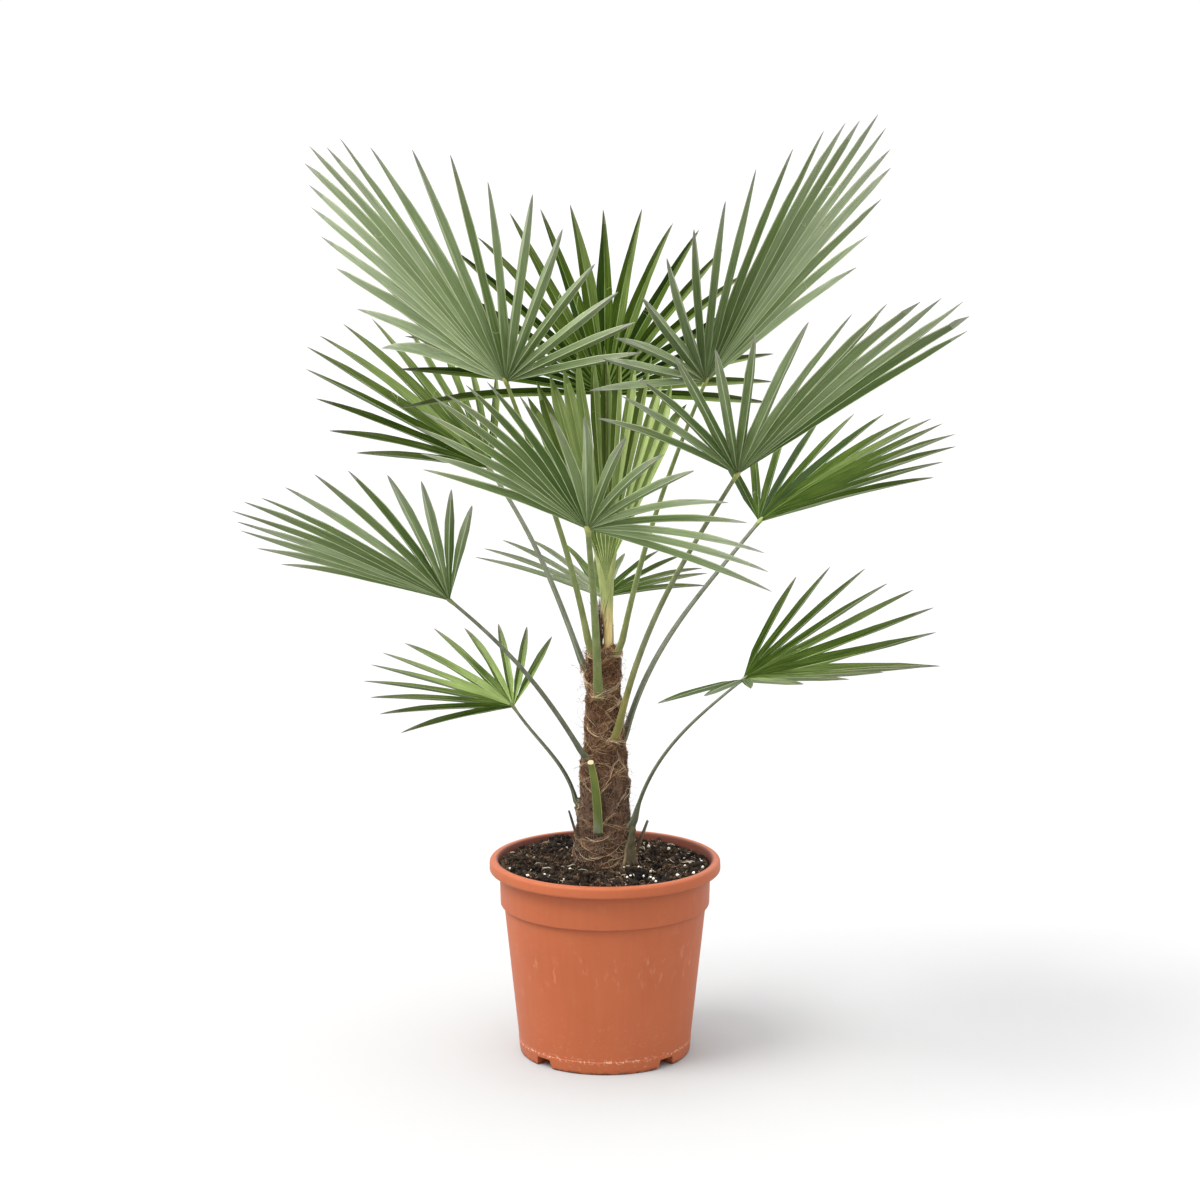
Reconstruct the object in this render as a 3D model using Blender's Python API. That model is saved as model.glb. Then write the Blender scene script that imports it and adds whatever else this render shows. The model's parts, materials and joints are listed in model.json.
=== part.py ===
"""A young windmill palm in a plastic nursery pot: metres, +Z up, the pot's flat underside at the origin.

The camera side of the plant is -Y. Each frond is a petiole and a pleated fan blade. The blade is one thin
closed sheet, cut between its leaflets from the tips down to where they are joined."""

import math
from collections import namedtuple

import bmesh
import bpy
from mathutils import Matrix, Vector

# The pot
POT_HEIGHT = 0.206
RIM_RADIUS = 0.120
LIP_HEIGHT = 0.012
COLLAR_RADIUS = 0.1095
STEP_HEIGHT = 0.158
BODY_RADIUS = 0.1055
BASE_RADIUS = 0.089
BASE_BEVEL = 0.003
WALL = 0.0022
POT_SIDES = 64
NOTCH_COUNT = 4
NOTCH_HEIGHT = 0.010
NOTCH_WIDTH = 0.026
NOTCH_DEPTH = 0.014
NOTCH_FIRST = 45.0

# The soil
SOIL_HEIGHT = 0.199
SOIL_CROWN = 0.202
SOIL_CROWN_RADIUS = 0.045

# The trunk: height above the soil and radius, from the root flare to the tip
TRUNK_GIRTH = (
    (0.000, 0.0345),
    (0.010, 0.0318),
    (0.025, 0.0290),
    (0.060, 0.0268),
    (0.083, 0.0256),
    (0.105, 0.0230),
    (0.135, 0.0203),
    (0.171, 0.0176),
    (0.209, 0.0168),
    (0.222, 0.0158),
    (0.227, 0.0125),
)
TRUNK_SIDES = 24
TRUNK_LEAN = Vector((-0.002, 0.003))

# Stalks and blades
PETIOLE_BASE_RADIUS = 0.0038
PETIOLE_TIP_RADIUS = 0.0024
HUB_RADIUS = 0.0031
HUB_REACH = 0.008
BLADE_THICKNESS = 0.0034
TIP_THICKNESS = 0.0014
PLEAT_SLOPE = 0.6
LEAFLET_HALF_WIDTH = 0.0056
YOUNG_STALK_RADIUS = 0.0056
WEBBED_REACH = 0.65
WEBBED_FALL = 0.58
FULL_WIDTH_REACH = 0.72
FULL_WIDTH_PART = 0.3
SHOULDER_PART = 0.28
SHOULDER_WIDTH = 0.5
LANCE_POWER = 0.85

# Pieces that touch keep this gap
GAP = 0.0003

Frond = namedtuple(
    "Frond",
    "name leaflets hub azimuth elevation roll radius spread cup side droop longest joined webbed"
    " seat height spring arch girth",
)

# hub is where the leaflets meet, and azimuth and elevation are the way the middle leaflet points. roll
# turns the blade about it, cup lifts both sides of the fan, side is the outer leaflets' share of the radius,
# and longest is where in the fan the longest leaflet stands. joined is how far the leaflets are joined at the
# place called webbed. seat and height are the petiole's place on the trunk, spring and arch its two bends,
# and girth is how stout it is.
FRONDS = (
    Frond("upper_left", 20, (-0.097, -0.090, 0.711), 210, 56, -8, 0.310, 174, 12, 0.62, 0.010, 0.6,
          0.64, 0.45, 231, 0.424, 8, 4, 1.0),
    Frond("upper_right", 19, (0.099, -0.058, 0.708), 311, 58, -17, 0.314, 157, 5, 0.66, 0.010, -0.6,
          0.64, -0.45, 325, 0.424, 6, 5, 1.0),
    Frond("upper_back", 21, (0.000, 0.130, 0.675), 90, 70, -5, 0.240, 182, 15, 0.72, 0.026, -0.35,
          0.44, 0.0, 70, 0.420, 18, 8, 1.0),
    Frond("front", 19, (-0.017, -0.110, 0.568), 256, 48, 20, 0.222, 182, 8, 0.88, 0.028, 0.3,
          0.50, 0.5, 256, 0.382, 14, 8, 1.25),
    Frond("left_back", 12, (-0.121, 0.085, 0.603), 160, 42, 11, 0.240, 117, 0, 0.72, 0.017, 0.1,
          0.46, 0.0, 151, 0.401, 7, 10, 1.0),
    Frond("right_front", 14, (0.128, -0.130, 0.625), 287, 37, -8, 0.305, 105, 11, 0.68, 0.017, -0.25,
          0.62, -0.6, 300, 0.336, 14, 8, 1.0),
    Frond("right_back", 13, (0.161, 0.080, 0.547), 38, 28, 4, 0.246, 113, 4, 0.83, 0.020, -0.25,
          0.56, 0.3, 44, 0.320, 20, 9, 1.0),
    Frond("left_front", 14, (-0.155, -0.080, 0.492), 226, 33, -22, 0.271, 89, 11, 0.63, 0.017, 0.0,
          0.58, 0.6, 225, 0.314, 9, 9, 0.85),
    Frond("lower_left", 12, (-0.095, 0.020, 0.362), 150, 21, 14, 0.161, 146, 11, 0.79, 0.013, -0.2,
          0.36, 0.0, 160, 0.259, 22, 3, 0.75),
    Frond("lower_right", 15, (0.140, -0.030, 0.401), 333, 10, -13, 0.220, 174, 18, 0.76, 0.000, 0.6,
          0.42, 0.1, 335, 0.242, 24, 14, 0.75),
    Frond("lower_back", 12, (-0.002, 0.090, 0.465), 87, 13, -5, 0.185, 134, 10, 0.63, 0.021, -0.25,
          0.40, 0.0, 112, 0.365, 20, 10, 0.85),
)
YOUNG_FROND = Frond("young", 13, (0.001, 0.002, 0.503), 90, 84, 0, 0.235, 58, 40, 0.86, 0.004, 0.0,
                    0.60, 0.0, 0, 0.0, 0, 0, 1.0)

# Cut stubs of old stalks: name, place round the trunk, height, the top's reach out and aside, rise and radius
STUBS = (
    ("stub_front", 258, 0.242, 0.004, -0.007, 0.074, 0.0045),
    ("stub_left", 200, 0.230, 0.009, 0.000, 0.030, 0.0018),
    ("stub_right", 355, 0.215, 0.011, 0.000, 0.032, 0.0024),
)


def clear_scene():
    for obj in list(bpy.data.objects):
        bpy.data.objects.remove(obj)


def material(name, color, roughness):
    made = bpy.data.materials.new(name)
    made.use_nodes = True
    shader = made.node_tree.nodes["Principled BSDF"]
    shader.inputs["Base Color"].default_value = (*color, 1.0)
    shader.inputs["Roughness"].default_value = roughness
    made.diffuse_color = (*color, 1.0)
    return made


def terracotta_plastic():
    return material("terracotta_plastic", (0.58, 0.16, 0.07), 0.55)


def potting_soil():
    return material("potting_soil", (0.035, 0.022, 0.015), 0.95)


def trunk_fibre():
    return material("trunk_fibre", (0.16, 0.09, 0.05), 0.9)


def stalk_green():
    return material("stalk_green", (0.20, 0.27, 0.09), 0.5)


def blade_green():
    return material("blade_green", (0.10, 0.20, 0.06), 0.5)


def mesh_object(name, mesh, look):
    mesh.materials.append(look)
    obj = bpy.data.objects.new(name, mesh)
    bpy.context.scene.collection.objects.link(obj)
    return obj


def shade_round(mesh, sharp_degrees=35):
    mesh.shade_smooth()
    mesh.set_sharp_from_angle(angle=math.radians(sharp_degrees))


def turned_mesh(name, profile, sides):
    """Turns a closed profile of (radius, height) points about the Z axis. Radius 0 is a point on the axis."""
    work = bmesh.new()
    rings = []
    for radius, height in profile:
        if radius == 0:
            rings.append([work.verts.new((0, 0, height))])
            continue
        ring = []
        for side in range(sides):
            angle = math.tau * side / sides
            ring.append(work.verts.new((radius * math.cos(angle), radius * math.sin(angle), height)))
        rings.append(ring)
    closed = profile[0][0] != 0
    for index in range(len(rings) if closed else len(rings) - 1):
        lower, upper = rings[index], rings[(index + 1) % len(rings)]
        for side in range(sides):
            after = (side + 1) % sides
            corners = [lower[side % len(lower)], lower[after % len(lower)]]
            corners += [upper[after % len(upper)], upper[side % len(upper)]]
            work.faces.new(list(dict.fromkeys(corners)))
    bmesh.ops.recalc_face_normals(work, faces=work.faces)
    mesh = bpy.data.meshes.new(name)
    work.to_mesh(mesh)
    work.free()
    return mesh


def apply_boolean(obj, operation, others):
    """Joins or cuts obj with the other objects, and removes them."""
    group = bpy.data.collections.new(f"{obj.name}_{operation.lower()}")
    for other in others:
        group.objects.link(other)
    modifier = obj.modifiers.new(operation.title(), "BOOLEAN")
    modifier.operation = operation
    modifier.solver = "EXACT"
    modifier.operand_type = "COLLECTION"
    modifier.collection = group
    bpy.context.view_layer.update()
    graph = bpy.context.evaluated_depsgraph_get()
    joined = bpy.data.meshes.new_from_object(obj.evaluated_get(graph), depsgraph=graph)
    obj.modifiers.remove(modifier)
    obj.data = joined
    for other in others:
        bpy.data.objects.remove(other)
    bpy.data.collections.remove(group)


def wall_radius(height):
    """Outer radius of the pot's tapered body at this height."""
    return BASE_RADIUS + (BODY_RADIUS - BASE_RADIUS) * height / STEP_HEIGHT


def notch_cutter(index, look):
    """A slanted block across the pot's lower edge, which leaves a drain slot between two feet."""
    angle = math.radians(NOTCH_FIRST + 360 / NOTCH_COUNT * index)
    work = bmesh.new()
    bmesh.ops.create_cube(work, size=1.0)
    for vert in work.verts:
        slant = 0.5 if vert.co.z < 0 else 0.34
        reach = NOTCH_DEPTH * 2 * vert.co.x
        side = NOTCH_WIDTH * slant * (1 if vert.co.y > 0 else -1)
        vert.co = Vector((BASE_RADIUS + reach, side, NOTCH_HEIGHT if vert.co.z > 0 else -NOTCH_HEIGHT))
    work.transform(Matrix.Rotation(angle, 4, "Z"))
    mesh = bpy.data.meshes.new("notch")
    work.to_mesh(mesh)
    work.free()
    cutter = mesh_object(f"notch_{index}", mesh, look)
    cutter.hide_render = True
    cutter.display_type = "WIRE"
    return cutter


def make_pot(look):
    lip_bottom = POT_HEIGHT - LIP_HEIGHT
    floor = NOTCH_HEIGHT + 2 * WALL
    outside = [
        (0, 0),
        (BASE_RADIUS - BASE_BEVEL, 0),
        (BASE_RADIUS, BASE_BEVEL),
        (BODY_RADIUS, STEP_HEIGHT),
        (COLLAR_RADIUS - 0.001, STEP_HEIGHT + 0.002),
        (COLLAR_RADIUS, lip_bottom),
        (RIM_RADIUS - 0.003, lip_bottom),
        (RIM_RADIUS, lip_bottom + 0.003),
        (RIM_RADIUS, POT_HEIGHT - 0.003),
        (RIM_RADIUS - 0.003, POT_HEIGHT),
    ]
    inside = [
        (RIM_RADIUS - 0.008, POT_HEIGHT),
        (COLLAR_RADIUS - WALL, lip_bottom),
        (COLLAR_RADIUS - 2 * WALL, STEP_HEIGHT),
        (wall_radius(floor) - WALL, floor),
        (0, floor),
    ]
    mesh = turned_mesh("pot", outside + inside, POT_SIDES)
    pot = mesh_object("pot", mesh, look)
    apply_boolean(pot, "DIFFERENCE", [notch_cutter(index, look) for index in range(NOTCH_COUNT)])
    shade_round(pot.data)
    return pot


def make_soil(look):
    """The soil fills the pot, a gap clear of its wall, and rises a little to the trunk."""
    lip_bottom = POT_HEIGHT - LIP_HEIGHT
    floor = NOTCH_HEIGHT + 2 * WALL + GAP
    profile = [
        (0, floor),
        (wall_radius(floor) - WALL - GAP, floor),
        (COLLAR_RADIUS - 2 * WALL - GAP, STEP_HEIGHT),
        (COLLAR_RADIUS - WALL - 2 * GAP, lip_bottom - 0.001),
        (COLLAR_RADIUS - WALL + 0.001, SOIL_HEIGHT - 0.001),
        (COLLAR_RADIUS - WALL - 0.005, SOIL_HEIGHT),
        (SOIL_CROWN_RADIUS, SOIL_CROWN),
        (0, SOIL_CROWN),
    ]
    soil = mesh_object("soil", turned_mesh("soil", profile, POT_SIDES), look)
    shade_round(soil.data)
    return soil


def trunk_foot():
    return SOIL_CROWN + GAP


def trunk_centre(height):
    """Centre of the trunk at this height above the pot's underside."""
    share = (height - trunk_foot()) / TRUNK_GIRTH[-1][0]
    return Vector((TRUNK_LEAN.x * share, TRUNK_LEAN.y * share, height))


def trunk_radius(height):
    above = height - trunk_foot()
    for (low, wide), (high, narrow) in zip(TRUNK_GIRTH, TRUNK_GIRTH[1:]):
        if above <= high:
            return wide + (narrow - wide) * (above - low) / (high - low)
    return TRUNK_GIRTH[-1][1]


def make_trunk(look):
    profile = [(0, trunk_foot())]
    profile += [(radius, trunk_foot() + above) for above, radius in TRUNK_GIRTH]
    profile.append((0, profile[-1][1]))
    mesh = turned_mesh("trunk", profile, TRUNK_SIDES)
    for vert in mesh.vertices:
        centre = trunk_centre(vert.co.z)
        vert.co.x += centre.x
        vert.co.y += centre.y
    shade_round(mesh, 50)
    return mesh_object("trunk", mesh, look)


def fan_axes(frond):
    """The way the middle leaflet points, the way across the blade, and the blade's upper side."""
    turn, rise, roll = (math.radians(angle) for angle in (frond.azimuth, frond.elevation, frond.roll))
    along = Vector((math.cos(turn) * math.cos(rise), math.sin(turn) * math.cos(rise), math.sin(rise)))
    level = Vector((math.sin(turn), -math.cos(turn), 0))
    across = math.cos(roll) * level + math.sin(roll) * level.cross(along)
    return along, across, across.cross(along)


def fan_point(frond, share, reach, lift=0.0):
    """A point of the fan: share runs from -1 to 1 across it, and reach from 0 at the hub to 1 at the tips."""
    along, across, upper = fan_axes(frond)
    angle = math.radians(frond.spread / 2) * share
    cup = math.radians(frond.cup)
    way = math.cos(angle) * along + math.sin(angle) * math.cos(cup) * across
    way += abs(math.sin(angle)) * math.sin(cup) * upper
    point = Vector(frond.hub) + way * leaflet_length(frond, share) * reach + upper * lift
    point.z -= frond.droop * (leaflet_length(frond, share) * reach / frond.radius) ** 2
    return point


def leaflet_length(frond, share):
    off_longest = abs(share - frond.longest) / (1 + abs(frond.longest))
    return frond.radius * (1 - (1 - frond.side) * off_longest**1.8)


def joined_share(frond, share):
    """How far the leaflets at this place in the fan are joined, as a share of their length."""
    off_webbed = min(1, abs(share - frond.webbed) / WEBBED_REACH)
    return frond.joined * (1 - WEBBED_FALL * off_webbed**3)


def free_stations(joined, sector):
    """Reach and half width of a free leaflet where it begins to narrow and at its shoulder before the tip."""
    full = max(FULL_WIDTH_REACH, joined + (1 - joined) * FULL_WIDTH_PART)
    shoulder = 1 - (1 - full) * SHOULDER_PART
    stations = []
    for reach, part in ((full, 1.0), (shoulder, SHOULDER_WIDTH)):
        tapered = sector * joined * ((1 - reach) / (1 - joined)) ** LANCE_POWER
        width = max(LEAFLET_HALF_WIDTH * part, tapered)
        stations.append((reach, min(width, sector * reach * 0.8)))
    return stations


class Sheet:
    """A thin closed sheet, built from pairs of points, one above the other."""

    def __init__(self, upper):
        self.upper = upper
        self.points = []
        self.faces = []

    def pair(self, place, thickness):
        half = self.upper * thickness / 2
        self.points += [place + half, place - half]
        return len(self.points) // 2 - 1

    def skin(self, a, b, c):
        self.faces.append((2 * a, 2 * b, 2 * c))
        self.faces.append((2 * c + 1, 2 * b + 1, 2 * a + 1))

    def strip(self, a, b, c, d):
        self.skin(a, b, c)
        self.skin(a, c, d)

    def wall(self, a, b):
        self.faces.append((2 * a, 2 * a + 1, 2 * b + 1))
        self.faces.append((2 * a, 2 * b + 1, 2 * b))

    def mesh(self, name):
        mesh = bpy.data.meshes.new(name)
        mesh.from_pydata([tuple(point) for point in self.points], [], self.faces)
        work = bmesh.new()
        work.from_mesh(mesh)
        bmesh.ops.recalc_face_normals(work, faces=work.faces)
        work.to_mesh(mesh)
        work.free()
        return mesh


def blade_sheet(frond):
    """The pleated fan: each leaflet is a V with its midrib low, joined to its neighbours near the hub."""
    sheet = Sheet(fan_axes(frond)[2])
    pitch = 2 / (frond.leaflets - 1)
    pitch_angle = math.radians(frond.spread) / (frond.leaflets - 1)
    hub = sheet.pair(Vector(frond.hub), BLADE_THICKNESS)

    def fold(share):
        half = joined_share(frond, share) * leaflet_length(frond, share) * pitch_angle / 2
        inner = fan_point(frond, share, joined_share(frond, share) / 2, half * PLEAT_SLOPE / 4)
        outer = fan_point(frond, share, joined_share(frond, share), half * PLEAT_SLOPE / 2)
        return sheet.pair(inner, BLADE_THICKNESS), sheet.pair(outer, BLADE_THICKNESS)

    folds = [fold(-1 + pitch * (index - 0.5)) for index in range(frond.leaflets + 1)]
    for index in range(frond.leaflets):
        share = -1 + pitch * index
        joined = joined_share(frond, share)
        length = leaflet_length(frond, share)
        half = joined * length * pitch_angle / 2
        rib = [sheet.pair(fan_point(frond, share, joined / 2, -half * PLEAT_SLOPE / 4), BLADE_THICKNESS)]
        rib.append(sheet.pair(fan_point(frond, share, joined, -half * PLEAT_SLOPE / 2), BLADE_THICKNESS))
        left, right = folds[index], folds[index + 1]
        sheet.skin(hub, left[0], rib[0])
        sheet.skin(hub, rib[0], right[0])
        sheet.strip(left[0], left[1], rib[1], rib[0])
        sheet.strip(rib[0], rib[1], right[1], right[0])
        edges = [left[1], right[1]]
        centre = rib[1]
        for reach, width in free_stations(joined, length * pitch_angle / 2):
            aside = width / (length * reach) / (math.radians(frond.spread) / 2)
            next_edges = [
                sheet.pair(fan_point(frond, share - aside, reach, width * PLEAT_SLOPE / 2), BLADE_THICKNESS),
                sheet.pair(fan_point(frond, share + aside, reach, width * PLEAT_SLOPE / 2), BLADE_THICKNESS),
            ]
            middle = fan_point(frond, share, reach, -width * PLEAT_SLOPE / 2)
            next_centre = sheet.pair(middle, BLADE_THICKNESS)
            sheet.strip(edges[0], next_edges[0], next_centre, centre)
            sheet.strip(centre, next_centre, next_edges[1], edges[1])
            sheet.wall(edges[0], next_edges[0])
            sheet.wall(next_edges[1], edges[1])
            edges, centre = next_edges, next_centre
        tip = sheet.pair(fan_point(frond, share, 1), TIP_THICKNESS)
        sheet.skin(edges[0], tip, centre)
        sheet.skin(centre, tip, edges[1])
        sheet.wall(edges[0], tip)
        sheet.wall(tip, edges[1])
    for fold_line, order in ((folds[0], 1), (folds[-1], -1)):
        for a, b in ((hub, fold_line[0]), (fold_line[0], fold_line[1])):
            sheet.wall(*(a, b)[::order])
    return sheet


def seat_point(azimuth, height, radius, upright=1.0):
    """Foot of a stalk that stands against the trunk, a gap clear of it. upright is 1 for a vertical stalk."""
    turn = math.radians(azimuth)
    out = Vector((math.cos(turn), math.sin(turn), 0))
    return trunk_centre(height) + out * (trunk_radius(height) + radius * upright + GAP)


def petiole_path(frond):
    """Foot, two handles, top and end direction of a stalk that springs up from the trunk and arches out."""
    hub = Vector(frond.hub)

    def turned(foot, degrees):
        chord = (hub - foot).normalized()
        level = chord.cross(Vector((0, 0, 1))).normalized()
        return Matrix.Rotation(math.radians(degrees), 3, level) @ chord

    base_radius = PETIOLE_BASE_RADIUS * frond.girth
    foot = seat_point(frond.seat, frond.height, base_radius)
    foot = seat_point(frond.seat, frond.height, base_radius, turned(foot, frond.spring).z)
    end = turned(foot, -frond.arch)
    top = hub - end * (HUB_REACH + GAP)
    handle = (top - foot).length * 0.38
    return foot, foot + turned(foot, frond.spring) * handle, top - end * handle, top, end


def stalk_object(name, knots, radii, look):
    """A tapering stalk along one Bezier stretch, given as foot, first handle, second handle and top."""
    curve = bpy.data.curves.new(name, "CURVE")
    curve.dimensions = "3D"
    curve.bevel_depth = radii[0]
    curve.bevel_resolution = 2
    curve.resolution_u = 10
    curve.use_fill_caps = True
    spline = curve.splines.new("BEZIER")
    spline.bezier_points.add(1)
    foot, first, second, top = knots
    for point, place, before, after, radius in (
        (spline.bezier_points[0], foot, foot * 2 - first, first, radii[0]),
        (spline.bezier_points[1], top, second, top * 2 - second, radii[1]),
    ):
        point.co = place
        point.handle_left = before
        point.handle_right = after
        point.radius = radius / radii[0]
    curve.materials.append(look)
    obj = bpy.data.objects.new(name, curve)
    bpy.context.scene.collection.objects.link(obj)
    return obj


def rod(name, foot, top, radius, look, sides=8):
    """A straight round rod between two points."""
    work = bmesh.new()
    bmesh.ops.create_cone(
        work, cap_ends=True, segments=sides, radius1=radius, radius2=radius, depth=(top - foot).length
    )
    turn = (top - foot).to_track_quat("Z", "Y").to_matrix().to_4x4()
    work.transform(Matrix.Translation((foot + top) / 2) @ turn)
    mesh = bpy.data.meshes.new(name)
    work.to_mesh(mesh)
    work.free()
    return mesh_object(name, mesh, look)


def make_blade(frond, stem_way, stem_radius, look):
    """The blade with the short stem that its leaflets spring from."""
    hub = Vector(frond.hub)
    blade = mesh_object(f"{frond.name}_blade", blade_sheet(frond).mesh(frond.name), look)
    stem = rod("stem", hub - stem_way * HUB_REACH, hub + stem_way * HUB_REACH * 0.5, stem_radius, look)
    apply_boolean(blade, "UNION", [stem])
    return blade


def make_frond(frond, stalk_look, blade_look):
    *knots, end = petiole_path(frond)
    radii = (PETIOLE_BASE_RADIUS * frond.girth, PETIOLE_TIP_RADIUS * frond.girth)
    stalk_object(f"{frond.name}_petiole", knots, radii, stalk_look)
    make_blade(frond, end, HUB_RADIUS, blade_look)


def make_young_frond(stalk_look, blade_look):
    """The newest leaf, half open, on a stout stalk that stands on the trunk's tip."""
    hub = Vector(YOUNG_FROND.hub)
    foot = trunk_centre(trunk_foot() + TRUNK_GIRTH[-1][0]) + Vector((0, 0, GAP))
    way = (hub - foot).normalized()
    top = hub - way * (HUB_REACH + GAP)
    handle = (top - foot).length / 3
    knots = (foot, foot + Vector((0, 0, handle)), top - way * handle, top)
    stalk_object("young_stalk", knots, (YOUNG_STALK_RADIUS, YOUNG_STALK_RADIUS * 0.9), stalk_look)
    make_blade(YOUNG_FROND, way, YOUNG_STALK_RADIUS * 0.9, blade_look)


def make_stub(stub, look):
    name, azimuth, height, out, aside, rise, radius = stub
    turn = math.radians(azimuth)
    foot = seat_point(azimuth, height, radius)
    away = Vector((math.cos(turn), math.sin(turn), 0))
    around = Vector((-math.sin(turn), math.cos(turn), 0))
    top = foot + away * out + around * aside + Vector((0, 0, rise))
    return rod(name, foot, top, radius, look)


def main():
    clear_scene()
    make_pot(terracotta_plastic())
    make_soil(potting_soil())
    fibre = trunk_fibre()
    make_trunk(fibre)
    stalk_look = stalk_green()
    blade_look = blade_green()
    make_young_frond(stalk_look, blade_look)
    for frond in FRONDS:
        make_frond(frond, stalk_look, blade_look)
    for stub in STUBS:
        make_stub(stub, stalk_look)


main()
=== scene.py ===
"""The looks of a young windmill palm in a plastic nursery pot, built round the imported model, in metres."""

import json
import math
import random

import bmesh
import bpy
import numpy as np
from mathutils import Matrix, Vector, noise

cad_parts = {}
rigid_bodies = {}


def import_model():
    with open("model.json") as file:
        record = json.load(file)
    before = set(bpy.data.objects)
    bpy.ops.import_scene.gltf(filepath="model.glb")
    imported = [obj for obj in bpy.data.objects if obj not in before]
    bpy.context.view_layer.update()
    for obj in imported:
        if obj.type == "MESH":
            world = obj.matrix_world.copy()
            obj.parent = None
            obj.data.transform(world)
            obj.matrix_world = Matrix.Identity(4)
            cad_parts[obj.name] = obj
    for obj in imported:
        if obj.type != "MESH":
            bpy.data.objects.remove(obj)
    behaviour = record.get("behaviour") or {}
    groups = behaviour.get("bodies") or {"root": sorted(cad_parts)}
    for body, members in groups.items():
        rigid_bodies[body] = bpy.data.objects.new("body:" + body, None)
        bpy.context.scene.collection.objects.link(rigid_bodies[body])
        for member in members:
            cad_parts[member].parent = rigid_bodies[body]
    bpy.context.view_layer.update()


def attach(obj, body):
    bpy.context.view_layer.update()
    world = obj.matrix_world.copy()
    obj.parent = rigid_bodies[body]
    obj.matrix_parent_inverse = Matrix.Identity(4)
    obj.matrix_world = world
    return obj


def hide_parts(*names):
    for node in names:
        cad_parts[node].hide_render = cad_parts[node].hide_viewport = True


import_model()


# The pot is a thin-walled nursery pot of terracotta-coloured polypropylene, injection-moulded in one piece with
# a rounded lip, a stacking collar and four drain slots between its feet. It carries everything else.

POT_HEIGHT = 0.206
RIM_RADIUS = 0.120
LIP_HEIGHT = 0.012
COLLAR_RADIUS = 0.1095
STEP_HEIGHT = 0.158
BODY_RADIUS = 0.1055
BASE_RADIUS = 0.089
WALL = 0.0022
POT_SIDES = 240
NOTCH_COUNT = 4
NOTCH_HEIGHT = 0.010
NOTCH_WIDTH = 0.026
NOTCH_DEPTH = 0.014
NOTCH_FIRST = 45.0
LEDGE_HEIGHT = 0.0135
LEDGE_STEP = 0.0005


def node(tree, kind, inputs=None, **settings):
    """Adds a shader node. An input is a value or the socket that feeds it."""
    made = tree.nodes.new(kind)
    for name, value in settings.items():
        setattr(made, name, value)
    for socket, value in (inputs or {}).items():
        if isinstance(value, bpy.types.NodeSocket):
            tree.links.new(value, made.inputs[socket])
        else:
            made.inputs[socket].default_value = value
    return made


def place(tree, scale=(1.0, 1.0, 1.0)):
    """The point on the piece, in metres, with each direction stretched by scale."""
    coordinates = node(tree, "ShaderNodeTexCoord").outputs["Object"]
    return node(tree, "ShaderNodeMapping", {"Vector": coordinates, "Scale": scale}).outputs["Vector"]


def cloud(tree, where, scale, detail=3.0, low=0.3, high=0.7, rough=0.5):
    """A noise that runs from 0 below low to 1 above high."""
    grain = node(tree, "ShaderNodeTexNoise", {"Vector": where, "Scale": scale, "Detail": detail, "Roughness": rough})
    return spread(tree, grain.outputs[0], low, high)


def spread(tree, value, low, high, first=0.0, last=1.0):
    fit = {"Value": value, "From Min": low, "From Max": high, "To Min": first, "To Max": last}
    return node(tree, "ShaderNodeMapRange", fit).outputs["Result"]


def times(tree, first, second):
    return node(tree, "ShaderNodeMath", {0: first, 1: second}, operation="MULTIPLY").outputs[0]


def tint(tree, share, first, second):
    """Goes from the first colour to the second as share goes from 0 to 1."""
    inputs = {0: share}
    for socket, value in ((6, first), (7, second)):
        inputs[socket] = value if isinstance(value, bpy.types.NodeSocket) else (*value, 1.0)
    return node(tree, "ShaderNodeMix", inputs, data_type="RGBA").outputs[2]


def relief(tree, height, distance, strength=1.0, under=None):
    inputs = {"Height": height, "Distance": distance, "Strength": strength}
    if under is not None:
        inputs["Normal"] = under
    return node(tree, "ShaderNodeBump", inputs).outputs["Normal"]


def finish(name, roughness, specular=0.5):
    """A bare surface: its material, its node tree and its shader."""
    made = bpy.data.materials.new(name)
    made.use_nodes = True
    shader = made.node_tree.nodes["Principled BSDF"]
    shader.inputs["Roughness"].default_value = roughness
    shader.inputs["Specular IOR Level"].default_value = specular
    return made, made.node_tree, shader


def feed(tree, shader, colour=None, normal=None, roughness=None):
    for socket, source in (("Base Color", colour), ("Normal", normal), ("Roughness", roughness)):
        if source is not None:
            tree.links.new(source, shader.inputs[socket])


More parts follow.
